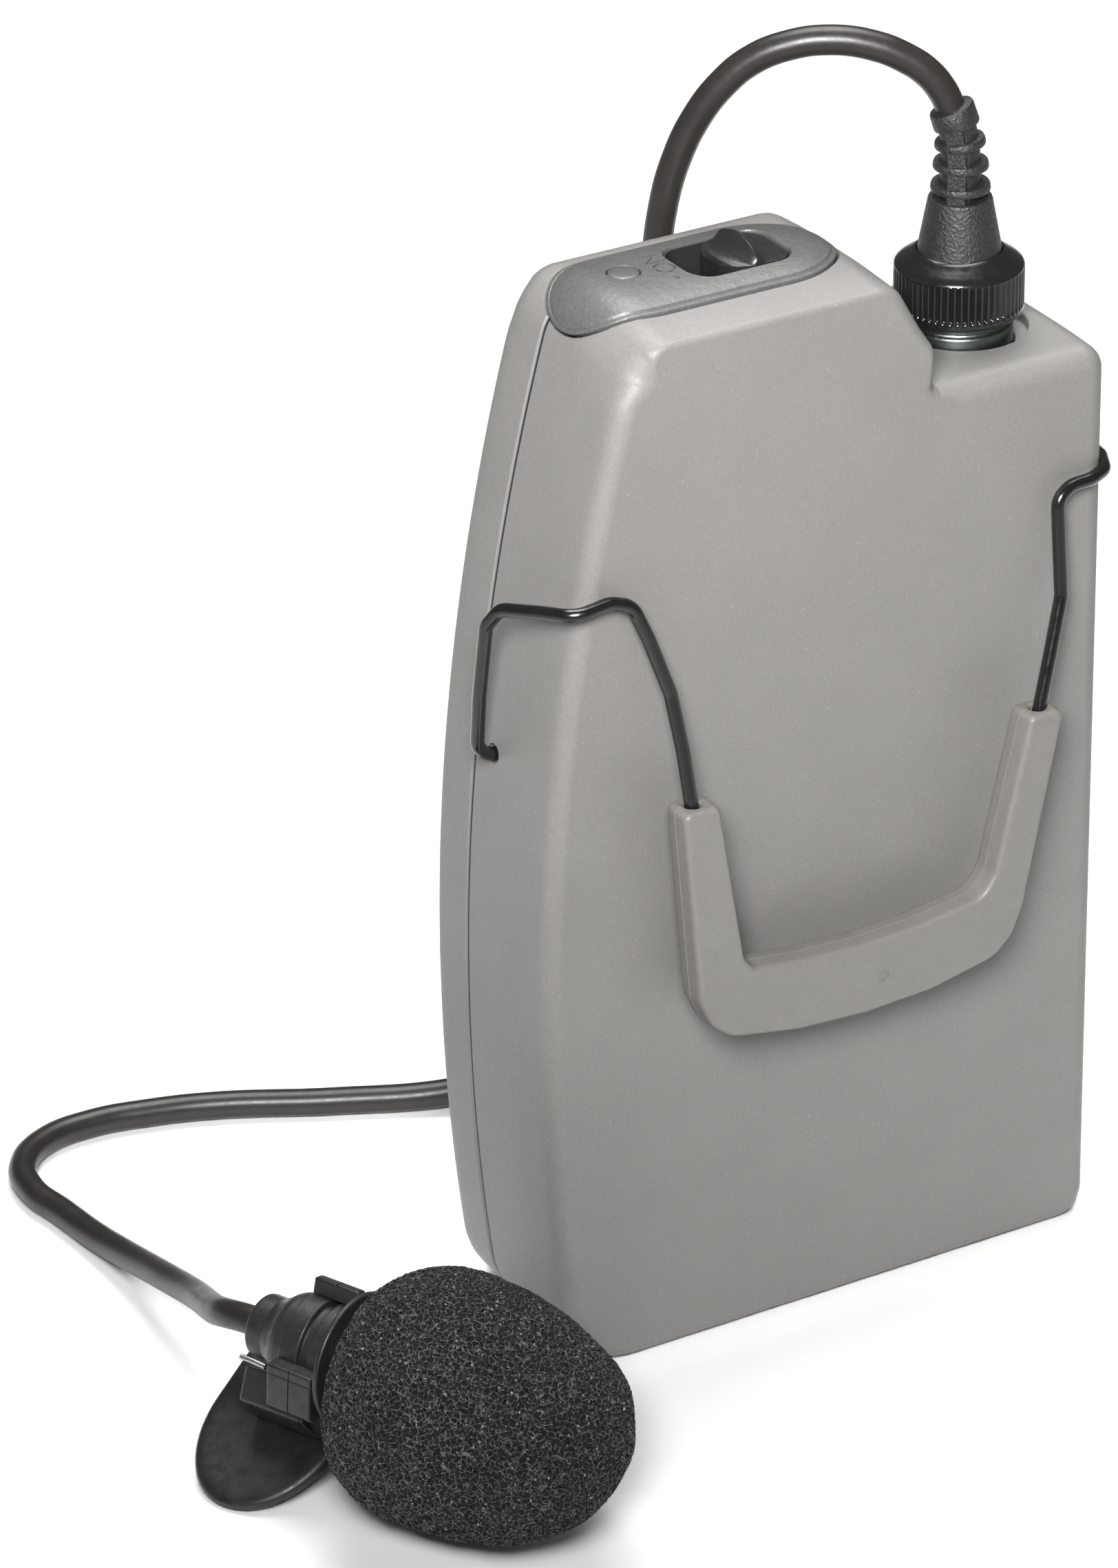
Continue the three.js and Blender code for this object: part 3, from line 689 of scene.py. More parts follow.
def on_crown(along):
    """Point and normal of the crown, along millimetres to the right of its top-left corner."""
    left_x, left_z, _ = on_bulge(TOP_LEFT, CROWN - TOP_LEFT)
    flat = SHOULDER[0] - left_x
    if along < 0:
        angle, centre, radius = math.pi / 2 - along / TOP_LEFT, (left_x, left_z), TOP_LEFT
    elif along > flat:
        angle = math.pi / 2 - (along - flat) / SHOULDER[2]
        centre, radius = SHOULDER[:2], SHOULDER[2]
    else:
        return Vector((left_x + along, CROWN)), Vector((0, 1))
    normal = Vector((math.cos(angle), math.sin(angle)))
    return Vector(centre) + normal * radius, normal


def cap_ring(inset, height):
    """The cap's outline moved in by inset, laid over the crown at a height above it."""
    half = max(0.0, CAP_HALF - inset)
    end = CAP_END * half / CAP_HALF
    left, right = CAP_LEFT + inset, CAP_RIGHT - inset
    plan = []
    for here, there, turn in ((right - end, left + end, -90), (left + end, right - end, 90)):
        plan += [(here + end * x, half * y) for x, y in arc((0, 0), 1, turn, turn + 180, CAP_STEPS)]
        side = plan[-1][1]
        plan += [(here + (there - here) * i / CAP_STEPS, side) for i in range(1, CAP_STEPS)]
    made = []
    for along, across in plan:
        place, normal = on_crown(along)
        place = place + normal * height
        made.append((place[0], CAP_Y + across, place[1]))
    return made


def pocket_cutter():
    return loft("pocket", [cap_ring(-POCKET_GAP, h) for h in (-2.2, -0.2, 3.5)])


def jack_cutters():
    x, y = JACK
    profile = [(0, 94), (6.35, 94), (6.35, 94.85), (6.55, 95.05), (6.55, 97.5), (0, 97.5)]
    return [
        lathe("counterbore", profile, 72, at(x + 0.75, y + 0.6, 0)),
        cylinder("drill", 5.45, 92.6, 97, at(x, y, 0), 56),
    ]


def rod_y(name, radius, low, high, x, z, segments=40):
    return cylinder(name, radius, low, high, at(x, 0, z, ALONG_Y), segments)


def box(name, low, high, radius=0.0):
    """A block between two corners; radius rounds the edges that run along Y."""
    (x0, y0, z0), (x1, y1, z1) = low, high
    outline = [(x0, z0), (x1, z0), (x1, z1), (x0, z1)]
    if radius:
        outline = rounded(outline, radius, 5)
    return slab(name, outline, y0, y1)


def make_front_shell():
    rim, tongue = PARTING - HALF_SEAM, PARTING + 0.9
    lip = [(0.0, rim - 0.15), (0.15, rim), (1.0, rim), (1.02, tongue), (1.5, tongue), (1.55, rim)]
    shell = case_half("front_case", PACK_FRONT, rim, FRONT_EDGE, lip)
    place = at(0, LEG_HOLE[0], LEG_HOLE[1], ALONG_X)
    holes = [cylinder("leg_hole", 1.0, x0, x1, place, 28) for x0, x1 in ((-36, -26), (27, 36))]
    carve(shell, pocket_cutter(), *jack_cutters(), *holes)
    finished(shell, "pack", "case_plastic", "front_shell", angle=SHELL_ANGLE)


def make_back_shell():
    rim, groove = PARTING + HALF_SEAM, PARTING + 1.1
    lip = [(0.0, rim + 0.15), (0.15, rim), (0.88, rim), (0.9, groove), (1.72, groove)]
    shell = case_half("back_case", PACK_BACK, rim, BACK_EDGE, lip)
    ledge = box("ledge", (-20.6, 8.1, 1.2), (20.6, 10.6, 64))
    posts = [rod_y("post", 3.5, 3.2, 10.6, x, z) for x, z in SCREWS]
    carve(shell, ledge, *posts, operation="UNION")
    cutters = [
        box("recess", (-19, 9.75, 2), (19, 13, 62), 1.0),
        box("bay", (-16.8, 5, 10.5), (16.8, 13, 61), 1.2),
        pocket_cutter(), *jack_cutters(),
    ]
    for x, z in SCREWS:
        cutters.append(rod_y("head", 2.7, 8.6, 13, x, z, 48))
        cutters.append(rod_y("shank", 1.4, 0, 9, x, z, 28))
    carve(shell, *cutters)
    finished(shell, "pack", "case_plastic", "back_shell", angle=SHELL_ANGLE)


def make_seam_shade_strip():
    """A dark strip that fills the joint between the shells: painted shade for the gap."""
    points, _ = case_outline()
    low, high = PARTING - HALF_SEAM + 0.01, PARTING + HALF_SEAM - 0.01
    steps = [(0.24, low), (0.2, low + 0.06), (0.2, high - 0.06), (0.24, high), (0.84, high),
             (0.84, low), (0.24, low)]
    shade_strip = stepped("seam_shade_strip", points, steps, hollow=True)
    carve(shade_strip, pocket_cutter(), *jack_cutters())
    # dark material as painted shade in the joint
    finished(shade_strip, "pack", "tray_plastic")


def make_door():
    half, low, high, inside = DOOR["half"], DOOR["low"], DOOR["high"], DOOR["inside"]
    outline = rounded([(-half, low), (half, low), (half, high), (-half, high)], 1.2, 6)
    steps = [(0.25, inside), (0, inside + 0.2), (0, 11.1), (0.08, 11.3), (0.22, 11.44), (0.4, 11.5)]
    door = stepped("door", outline, steps)
    thumb = [lathe("thumb", [(0, 0), (5.5, 0), (6.2, 0.25), (6.6, 0.9), (0, 0.9)], 60,
                   at(0, 10.95, 55, ALONG_Y))]
    carve(door, *thumb)
    for i in range(5):
        z = 46 - 2.4 * i
        ridge = box("ridge", (-8, 11.2, z - 0.55), (8, 11.95, z + 0.55), 0.5)
        carve(door, bevelled(ridge, 0.22, 2), operation="UNION")
    arrow = [(-3.2, 32.5), (0, 28.5), (3.2, 32.5), (1.3, 32.5), (1.3, 34.6), (-1.3, 34.6), (-1.3, 32.5)]
    carve(door, slab("arrow", arrow, 11.2, 12))
    finished(door, "battery_door", "case_plastic", "battery_door")


def make_screws():
    for index, (x, z) in enumerate(SCREWS):
        profile = [(0, -4.5), (1.1, -4.5), (1.1, 8.9), (2.2, 8.9), (2.4, 9.05), (2.4, 9.7), (2.2, 10.3),
                   (1.6, 10.62), (0.8, 10.7), (0, 10.7)]
        screw = lathe("screw", profile, 40, at(x, 0, z, ALONG_Y))
        turn = math.radians(20 + 37 * index)
        for extra in (0, math.pi / 2):
            slot = box("slot", (-1.45, 9.7, -0.28), (1.45, 12, 0.28))
            moved = Matrix.Translation(Vector((x, 0, z)) * MM)
            slot.data.transform(moved @ Matrix.Rotation(turn + extra, 4, "Y"))
            carve(screw, slot)
        screw.name = f"screw_{index + 1}"
        finished(screw, "pack", "steel", f"case_screw_{index + 1}")


# ---- cap, lens and switch

# The cap's section from its underside up to the middle of its crown: inset, height.
CAP_EDGE = [
    (CAP_HALF, -1.6), (5, -1.6), (2, -1.6), (0.0, -1.6), (0.0, 0.0), (0.03, 0.12), (0.1, 0.2),
    (0.22, 0.24), (0.36, 0.24), (0.44, 0.2), (0.52, 0.21), (0.6, 0.28),
]
for step in range(17):
    inset = 0.72 + (CAP_HALF - 0.72) * (step / 16) ** 1.3
    CAP_EDGE.append((inset, 0.2 + (CAP_PROUD - 0.2) * (1 - (1 - inset / CAP_HALF) ** 2.6)))
CAP_TOP = CROWN + CAP_PROUD
SWITCH = {"x": -4.1, "y": 0.1, "length": 10.8, "width": 8.0, "radius": 2.2}
LED = (-14.7, 0.95, 1.5)
LETTERING, LETTER_SIZE = (-10.9, 0.95), 3.0


def opening(name, steps, hollow=False):
    """The switch's opening as a loft; each step is how much wider it is, and its height."""
    x, y = SWITCH["x"], SWITCH["y"]
    rings = []
    for grow, z in steps:
        a, b = SWITCH["length"] / 2 + grow, SWITCH["width"] / 2 + grow
        plan = [(x - a, y - b), (x + a, y - b), (x + a, y + b), (x - a, y + b)]
        rings.append(along_z(rounded(plan, SWITCH["radius"] + grow, 9), z))
    return loft(name, rings, hollow=hollow)


def make_cap():
    cap = loft("crown_cap", [cap_ring(inset, height) for inset, height in CAP_EDGE], hollow=True)
    hole = opening("opening", [(0, 100), (0, CAP_TOP - 0.45), (0.05, CAP_TOP - 0.25),
                               (0.16, CAP_TOP - 0.1), (0.34, CAP_TOP), (0.5, CAP_TOP + 0.6)])
    x, y, radius = LED
    profile = [(0, 100), (radius + 0.12, 100), (radius + 0.12, CAP_TOP - 0.12),
               (radius + 0.22, CAP_TOP + 0.01), (radius + 0.3, 110), (0, 110)]
    lens_hole = lathe("lens_hole", profile, 56, at(x, y, 0))
    label = bpy.data.curves.new("label", "FONT")
    label.body, label.size, label.extrude = "ON", LETTER_SIZE * MM, 0.5 * MM
    label.align_x, label.align_y = "CENTER", "CENTER"
    letters = bpy.data.objects.new("letters", label)
    bpy.context.scene.collection.objects.link(letters)
    bpy.context.view_layer.update()
    mesh = bpy.data.meshes.new_from_object(letters.evaluated_get(bpy.context.evaluated_depsgraph_get()))
    bpy.data.objects.remove(letters)
    place = Vector((LETTERING[0], LETTERING[1], CAP_TOP + 0.3)) * MM
    mesh.transform(Matrix.Translation(place) @ Matrix.Rotation(math.pi / 2, 4, "Z"))
    engraving = bpy.data.objects.new("engraving", mesh)
    bpy.context.scene.collection.objects.link(engraving)
    tidy_mesh(engraving)
    tick_plan = rounded([(-11.35, -2.9), (-10.85, -2.9), (-10.85, -2.2), (-11.35, -2.2)], 0.2, 4)
    tick = slab("tick", tick_plan, CAP_TOP - 0.2, CAP_TOP + 1, along_z)
    carve(cap, hole, lens_hole, engraving, tick)
    finished(cap, "pack", "cap_plastic", "top_cap", angle=26)


def make_lens():
    x, y, radius = LED
    profile = [
        (0, 104.9), (radius - 0.1, 104.9), (radius, 105.1), (radius, CAP_TOP - 0.2),
        (radius - 0.08, CAP_TOP - 0.08), (radius - 0.25, CAP_TOP - 0.03), (1.0, CAP_TOP),
        (0, CAP_TOP + 0.01),
    ]
    finished(lathe("lens", profile, 56, at(x, y, 0)), "pack", "lens", "indicator_lens")


def make_opening_shade_liner():
    """A thin black liner in the switch's opening: painted shade for its inner walls."""
    low, high, outside, inside = 104.2, CAP_TOP - 0.5, -0.01, -0.14
    steps = [(outside, low), (outside, high), (inside, high), (inside, low), (outside, low)]
    shade_lining = opening("opening_shade_liner", steps, hollow=True)
    # dark material as painted shade on the opening's walls
    finished(shade_lining, "pack", "tray_plastic")


def make_switch():
    left, right, y0, half = -5.7, 1.0, 0.1, 3.78
    crest, base, foot = -3.1, -5.5, -0.9
    plate, low = 107.95, 103.8
    rows, rings = 44, []
    for row in range(rows + 1):
        q = -1 + 2 * row / rows
        arch = max(0.0, 1 - q * q)
        start = crest - (crest - base) * arch ** 0.6 - 0.02
        end = crest + (foot - crest) * (0.45 + 0.55 * arch) + 0.02
        top = 1.9 * arch ** 0.6
        spans = (  # from, to, steps, height above the plate
            (left, start, 9, lambda t: -0.55 * (1 - t) ** 1.6),
            (start, crest, 10, lambda t: top * t ** 1.7),
            (crest, end, 8, lambda t: top * (0.5 + 0.5 * math.cos(math.pi * t ** 1.15))),
            (end, right, 7, lambda t: -0.12 * t),
        )
        y = y0 + q * half
        line = [(a + (b - a) * i / count, y, plate + rise(i / count))
                for a, b, count, rise in spans for i in range(count)]
        line.append((right, y, plate - 0.12))
        rings.append(line + [(x, y, low) for x, _, _ in reversed(line)])
    slider = loft("switch_thumb", rings)
    plan = rounded([(left, y0 - half), (right, y0 - half), (right, y0 + half), (left, y0 + half)],
                   [2.9, 1.9, 1.9, 2.4], 10)
    trim = slab("trim", plan, 103, 112, along_z)
    carve(slider, trim, operation="INTERSECT")
    slider = bevelled(slider, 0.14, 2, 50)
    finished(slider, "power_switch", "switch_plastic", "switch_slider", angle=35)


# ---- connector, ring and boot

RING_LOW, RING_RADIUS, RIDGES = 97.0, 6.2, 58


def make_collar():
    profile = [
        (0, 87.5), (4.2, 87.5), (4.2, 93.6), (5.1, 93.6), (5.2, 93.7), (5.2, 95.75), (5.14, 95.9),
        (5.0, 95.98), (4.9, 96.06), (4.82, 96.2), (4.9, 96.3), (4.9, 97.1), (4.84, 97.22),
        (4.7, 97.3), (4.4, 97.3), (4.4, 101), (3.3, 101), (3.3, 89.5), (0, 89.5),
    ]
    profile = rounded(profile, 0.05, 3, closed=False)
    collar = lathe("collar", profile, 96, at(JACK[0], JACK[1], 0))
    finished(collar, "pack", "connector_metal", "connector_collar")


def make_ring():
    low = RING_LOW
    flute_low, flute_high = low + 0.85, low + 4.55

    def flutes(radius, height, angle):
        if not flute_low < height < flute_high or radius < RING_RADIUS - 0.05:
            return radius
        edge = min(1.0, (height - flute_low) / 0.22, (flute_high - height) / 0.22)
        valley = (0.5 + 0.5 * math.cos(RIDGES * angle)) ** 1.6
        return radius - 0.3 * valley * math.sqrt(max(0.0, edge))

    levels = [flute_low + 0.02 + (flute_high - flute_low - 0.04) * t for t in
              (0, 0.02, 0.045, 0.075, 0.12, 0.35, 0.65, 0.88, 0.925, 0.955, 0.98, 1)]
    rim = RING_RADIUS
    outer = [(rim - 0.35, low), (rim - 0.15, low + 0.05), (rim - 0.05, low + 0.16),
             (rim, low + 0.4), (rim, low + 0.75)]
    outer += [(rim, z) for z in levels]
    outer += [
        (rim, low + 4.6), (rim - 0.06, low + 4.76), (rim - 0.24, low + 4.96), (5.5, low + 5.3),
        (5.0, low + 5.63), (4.55, low + 5.95), (4.25, low + 6.18), (4.15, low + 6.22),
        (4.1, low + 6.15), (4.1, low + 5.2), (3.6, low + 5.2), (3.6, low + 4.5), (5.05, low + 4.5),
        (5.05, low), (rim - 0.35, low),
    ]
    ring = lathe("ring", outer, RIDGES * 10, at(JACK[0], JACK[1], 0), flutes)
    shade(ring, 50)
    dressed(ring, "coupling_ring", "ring_plastic", "coupling_ring")


# The boot's end leans with the cord: where it starts, how tightly, and the way it leans from.
BOOT_BEND = {"start": 112.0, "radius": 14.7, "azimuth": math.radians(-29.9)}
# The boot's ribs: where the webs below each one start, its bottom, its top and its radius.
BOOT_RIBS = (
    (108.4, 109.1, 109.95, 2.86), (109.8, 111.3, 112.15, 2.66), (112.0, 113.5, 114.35, 2.44),
    (114.2, 115.55, 117.55, 2.22),
)
PILLAR_TURN = math.radians(138.105)  # where the webs between the ribs stand


def make_boot():
    foot = [(0, 102.6), (4.0, 102.6), (3.98, 103.4), (3.08, 108.2), (3.0, 108.4), (2.8, 108.5),
            (1.95, 108.5), (1.75, 117.0), (1.6, 117.4), (0, 117.5)]
    pieces = [lathe("boot", foot, 72)]
    for gap_low, low, high, radius in BOOT_RIBS:
        rib = [(0, low), (radius - 0.2, low), (radius - 0.05, low + 0.06), (radius, low + 0.2),
               (radius - 0.04, high - 0.3), (radius - 0.12, high - 0.1), (radius - 0.35, high),
               (0, high)]
        pieces.append(lathe("rib", rib, 72))
        for side in (0, math.pi):
            pillar = box("pillar", (-0.85, -0.05, gap_low), (0.85, radius - 0.14, low + 0.2))
            pillar.data.transform(Matrix.Rotation(PILLAR_TURN + side, 4, "Z"))
            pieces.append(pillar)
    boot = carve(pieces[0], *pieces[1:], operation="UNION")
    over = Matrix.Rotation(BOOT_BEND["azimuth"], 4, "Z")
    boot.data.transform(over.inverted())
    for vertex in boot.data.vertices:
        rise = vertex.co.z / MM - BOOT_BEND["start"]
        if rise > 0:
            angle, reach = rise / BOOT_BEND["radius"], BOOT_BEND["radius"] + vertex.co.x / MM
            vertex.co.x = (reach * math.cos(angle) - BOOT_BEND["radius"]) * MM
            vertex.co.z = (BOOT_BEND["start"] + reach * math.sin(angle)) * MM
    boot.data.transform(Matrix.Translation(Vector((*JACK, 0)) * MM) @ over)
    finished(boot, "pack", "boot_rubber", "cable_boot")


# ---- belt clip

WIRE_RADIUS = 0.68
LEFT_WIRE = [
    (-26.6, -0.4, 63.4), (-30.6, -0.6, 63.4), (-32.1, -1.0, 64.8), (-32.4, -2.2, 71),
    (-32.4, -3.7, 78.6), (-31.7, -5.2, 80.7), (-29.8, -9.4, 81.6), (-28.5, -12.0, 82),
    (-27.4, -12.6, 82.1), (-24.4, -12.6, 82.5), (-22.2, -12.8, 81.8), (-20.7, -13.2, 78.2),
    (-18.8, -13.9, 72.4), (-18.1, -14.9, 66.8), (-17.75, -15.9, 61.2), (-17.5, -16, 57.2),
]
RIGHT_WIRE = [
    (27.8, -0.4, 63.4), (32.0, -0.6, 63.4), (33.4, -1.0, 64.8), (33.4, -2.2, 71), (33.4, -3.7, 79.4),
    (33.2, -5.2, 81.7), (32.3, -8.6, 82.1), (30.7, -11.6, 82.2), (28.5, -12.6, 82.1), (26.2, -12.6, 82),
    (24.6, -12.8, 81), (24.6, -13.2, 76.6), (24.5, -13.9, 71.4), (22.8, -14.9, 66.6), (20.9, -15.9, 61.2),
    (20.1, -16, 57.2),
]


def make_clip_wires():
    for side, route in (("left", LEFT_WIRE), ("right", RIGHT_WIRE)):
        path = rounded(route, 2.2, 6, closed=False)
        bent, spline = curve_object(f"belt_wire_{side}", "POLY", len(path), WIRE_RADIUS, 6)
        for knot, point in zip(spline.points, path):
            knot.co = (*(Vector(point) * MM), 1)
        bent = tidy_mesh(baked(bent))
        bent.name = f"belt_wire_{side}"
        shade(bent, 60)
        dressed(bent, None, "clip_wire", f"clip_leg_{side}", f"clip_arm_{side}")
        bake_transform(bent)


def make_yoke():
    outer = [(-19.6, 61.5), (-17.9, 41), (-16.6, 38.2), (-14.4, 36.5), (-7, 35.2), (0.6, 34.8),
             (8, 35.2), (15.2, 36.7), (17.2, 38.6), (18.4, 41.6), (22.6, 61.5)]
    inner = [(18.8, 61.5), (15, 45.6), (13.6, 43.6), (7, 42.6), (0.6, 42.3), (-6, 42.6),
             (-12, 43.3), (-13, 44.6), (-15.7, 61.5)]
    corners = outer + inner
    radii = [0.7, 3, 3, 4, 9, 9, 9, 4, 3, 3, 0.7, 0.7, 3, 3, 9, 9, 9, 2, 2, 0.7]
    outline = rounded(corners, radii, 6)
    steps = [(0.55, -17.8), (0.3, -17.74), (0.12, -17.6), (0.02, -17.38), (0, -17.1),
             (-0.06, -15.95), (0.04, -15.9), (0.04, -15.8), (-0.06, -15.75), (0, -14.75),
             (0.05, -14.5), (0.18, -14.3), (0.4, -14.2)]
    yoke = stepped("yoke", outline, steps)
    gate = rod_y("gate", 0.55, -18.2, -17.68, 2.4, 38.4, 24)
    carve(yoke, gate)
    for x, z in ((-17.72, 60.2), (20.6, 60.2)):
        eye = lathe("eye", [(0, 0), (0.8, 0), (0.8, 1.1), (1.15, 1.4), (0, 1.4)], 32, at(x, -15.93, z))
        carve(yoke, eye)
    finished(yoke, "belt_clip", "yoke_plastic", "clip_yoke")


# ---- microphone

MIC_FRAME = Matrix.Translation((-56.7, -13.1, 13.7)) @ Matrix.Rotation(math.radians(204.2), 4, "Z")
CLIP_FRAME = MIC_FRAME @ Matrix.Rotation(math.radians(26.5), 4, "Y")


def make_microphone():
    corners = [  # radius, distance along the microphone, rounding
        (0, -7.0, 0), (3.1, -7.0, 0.5), (3.1, -5.0, 0.15), (3.5, -4.2, 0.6), (4.3, -3.1, 0.8),
        (4.5, -2.5, 0.4), (4.5, -1.6, 0.1), (4.95, -1.5, 0.2), (4.95, 0.6, 0.2), (4.4, 0.68, 0.1),
        (4.4, 1.62, 0.1), (4.95, 1.7, 0.2), (4.95, 3.6, 0.1), (6.6, 3.75, 0.25), (6.6, 4.35, 0.25),
        (4.6, 4.45, 0.2), (4.6, 9.2, 0.1), (3.4, 9.2, 0.1), (3.4, 5.2, 0.1), (0, 5.2, 0),
    ]
    profile = rounded([c[:2] for c in corners], [c[2] for c in corners], 5, closed=False)
    body = lathe("sleeve", profile, 96, MIC_FRAME @ ALONG_Y)
    finished(body, "pack", "mic_plastic", "mic_body")
    dome = rounded([(0, 9.5), (4.6, 9.5), (4.6, 10.4), (3, 11.2), (0, 11.5)], 0.25, 4, closed=False)
    grille = lathe("grille", dome, 64, MIC_FRAME @ ALONG_Y)
    finished(grille, "pack", "mic_plastic", "mic_grille")


FOAM_PORE, FOAM_LUMP, FOAM_SAG = 0.6, 5.0, 0.75
FOAM_SHIFT = Vector((17.3, 4.1, 9.7))  # where in the noise the foam lies


def foam_profile():
    steps = 150
    start, length, radius, bore, bore_end, shoulder = 6.6, 26.8, 12.25, 4.95, 13.0, 7.4
    profile = [(0, bore_end), (bore * 0.5, bore_end), (bore, bore_end)]
    profile += [(bore, bore_end - (bore_end - start) * i / 14) for i in range(1, 15)]
    profile += [(bore + (radius * 0.66 - bore) * i / 10, start) for i in range(1, 11)]
    for i in range(1, 31):
        angle = math.radians(3 * i)
        across = radius * (0.66 + 0.34 * math.sin(angle))
        profile.append((across, start + shoulder * (1 - math.cos(angle))))
    nose = length - shoulder
    for i in range(1, steps):
        angle = math.radians(90 * i / steps)
        profile.append((radius * math.cos(angle) ** 0.8, start + shoulder + nose * math.sin(angle)))
    profile.append((0, start + length))
    return profile


def make_foam():
    foam = lathe("windscreen_foam", foam_profile(), 420, MIC_FRAME @ ALONG_Y)
    mesh = foam.data
    mesh.update()
    shift = FOAM_SHIFT
    axis_at, axis = MIC_FRAME.translation, MIC_FRAME.to_3x3() @ Vector((0, 1, 0))
    away = [(v.co.copy(), v.normal.copy()) for v in mesh.vertices]
    for vertex, (place, normal) in zip(mesh.vertices, away):
        p = place / MM
        near = noise.voronoi(p / FOAM_PORE + shift)[0]
        rough = 0.3 * (min(1.0, (near[1] - near[0]) * 1.6) - 0.6)
        fine = 0.07 * noise.noise(p / 0.33 + shift)
        swell = 0.22 * noise.noise(p / FOAM_LUMP + shift) + 0.10 * noise.noise(p / 1.9 + shift)
        vertex.co = place + normal * (-rough + fine + swell - 0.12) * MM
        off_axis = (p - axis_at - axis * (p - axis_at).dot(axis)).length
        vertex.co.z -= FOAM_SAG * min(1.0, max(0.0, (off_axis - 5.5) / 4)) * MM
    mesh.update()
    mesh.shade_smooth()
    dressed(foam, "windscreen", "foam", "foam_windscreen")


# ---- tie clip

CLIP_CENTRE = -3.5
TONGUE_TOP, TONGUE_THICK = -6.5, 1.2
PIN = (0.5, -9.8)


def in_clip(obj):
    obj.data.transform(Matrix.Translation(CLIP_FRAME.translation * MM) @ CLIP_FRAME.to_3x3().to_4x4())
    return obj


def make_clip_ring():
    outer, inner = 5.75, 5.1
    start, end = 131.5, 389.5
    low, high = -1.5, 3.65
    section = arc((0, 0), outer, start, end, 60) + arc((0, 0), inner, end, start, 60)
    ring = bevelled(slab("hoop", section, low, high), 0.15, 3)
    extras = []
    for angle in (start, end):
        lip = bevelled(box("lip", (-1.0, low, -0.6), (0.75, high, 0.6)), 0.22, 3)
        turn = Matrix.Rotation(-math.radians(angle), 4, "Y")
        lip.data.transform(turn @ Matrix.Translation(Vector((5.85, 0, 0)) * MM))
        extras.append(lip)
    cheek = [(4.7, 3.0), (5.9, 3.1), (7.7, 0.1), (7.5, -0.8), (6.3, -1.4), (6.3, -6.0),
             (4.7, -6.0), (4.7, 0)]
    extras.append(bevelled(slab("cheek", cheek, low, high), 0.3, 3))
    foot = [(3.2, -3.6), (4.5, 0.0), (7.1, -2.3), (7.0, -3.3), (6.3, -6.4), (3.2, -6.4)]
    extras.append(bevelled(slab("foot", foot, -6.0, 1.4), 0.3, 3))
    carve(ring, *extras, operation="UNION")
    well = cylinder("well", inner - 0.02, -2.6, 12, ALONG_Y, 80)
    tail = cylinder("tail", 4.4, -12, -2.4, ALONG_Y, 80)
    groove = [(6.45, 1.05), (9.5, 1.05), (9.5, 1.16), (6.45, 1.16), (6.45, 1.05)]
    seam = lathe("seam", groove, 80, ALONG_Y)
    carve(ring, well, tail, seam)
    in_clip(ring)
    ring.name = "clip_hoop"
    finished(ring, "tie_clip", "clip_plastic", "tie_clip_ring")


def tongue_outline():
    centre, half, tip, middle = CLIP_CENTRE - 0.45, 7.35, 15.7, 5.6
    nose = [(middle + (tip - middle) * x, centre + half * y) for x, y in arc((0, 0), 1, -90, 90, 36)]
    rear = [(0, half), (-3, 4), (-9, 2.6), (-9, -2.6), (-3, -4), (0, -half)]
    rear = [(x, centre + y) for x, y in rear]
    return nose + rounded(rear, [0, 2, 0.6, 0.6, 2, 0], 4, closed=False)


def make_clip_plate():
    centre, top, low = CLIP_CENTRE, TONGUE_TOP, TONGUE_TOP - TONGUE_THICK
    steps = [(0.5, low), (0.12, low + 0.08), (0, low + 0.3), (0, top - 0.5), (0.1, top - 0.3),
             (0.3, top - 0.14), (0.6, top - 0.05), (1.0, top - 0.01), (1.5, top)]
    tongue = stepped("tongue", tongue_outline(), steps, along_z)
    extras = []
    for y in (centre - 3.8, centre + 3.8):
        extras.append(bevelled(box("ear", (-1.2, y - 0.5, -11), (2.2, y + 0.5, top - 0.6), 0.9), 0.12, 2))
    carve(tongue, *extras, operation="UNION")
    x, z = PIN
    hole = cylinder("pin_hole", 0.85, -12, 6, at(x, 0, z, ALONG_Y), 32)
    relief = cylinder("relief", 6.9, 2.3, 6, ALONG_Y, 60)
    carve(tongue, hole, relief)
    in_clip(tongue)
    tongue.name = "clip_tongue"
    finished(tongue, "tie_clip", "clip_plastic", "tie_clip_plate")


def make_clip_lever():
    centre = CLIP_CENTRE
    y0, y1 = centre - 2.9, centre + 2.9
    x, z = PIN
    lever = cylinder("lever", 1.5, y0, y1, at(x, 0, z, ALONG_Y), 40)
    extras = [
        bevelled(box("pad", (0, y0, -10.6), (6.4, y1, -9.5), 0.35), 0.15, 2),
        bevelled(box("jaw", (-9, y0, -9.9), (0, y1, -8.8), 0.3), 0.15, 2),
    ]
    for start in (-8.9, -7.3):
        tooth = [(start, -9.2), (start + 0.9, -9.2), (start + 0.6, -8.05), (start + 0.3, -8.05)]
        extras.append(slab("tooth", tooth, y0 + 0.1, y1 - 0.1))
    for i in range(3):
        extras.append(cylinder("grip", 0.3, y0 + 0.3, y1 - 0.3, at(3.4 + 1.1 * i, 0, -10.6, ALONG_Y), 16))
    carve(lever, *extras, operation="UNION")
    bore = cylinder("bore", 0.85, -12, 6, at(x, 0, z, ALONG_Y), 32)
    window = box("window", (-1.4, centre - 1.9, -12), (2.4, centre + 1.9, -7))
    carve(lever, bore, window)
    in_clip(lever)
    lever.name = "clip_lever"
    finished(lever, "tie_clip_lever", "clip_plastic", "tie_clip_lever")


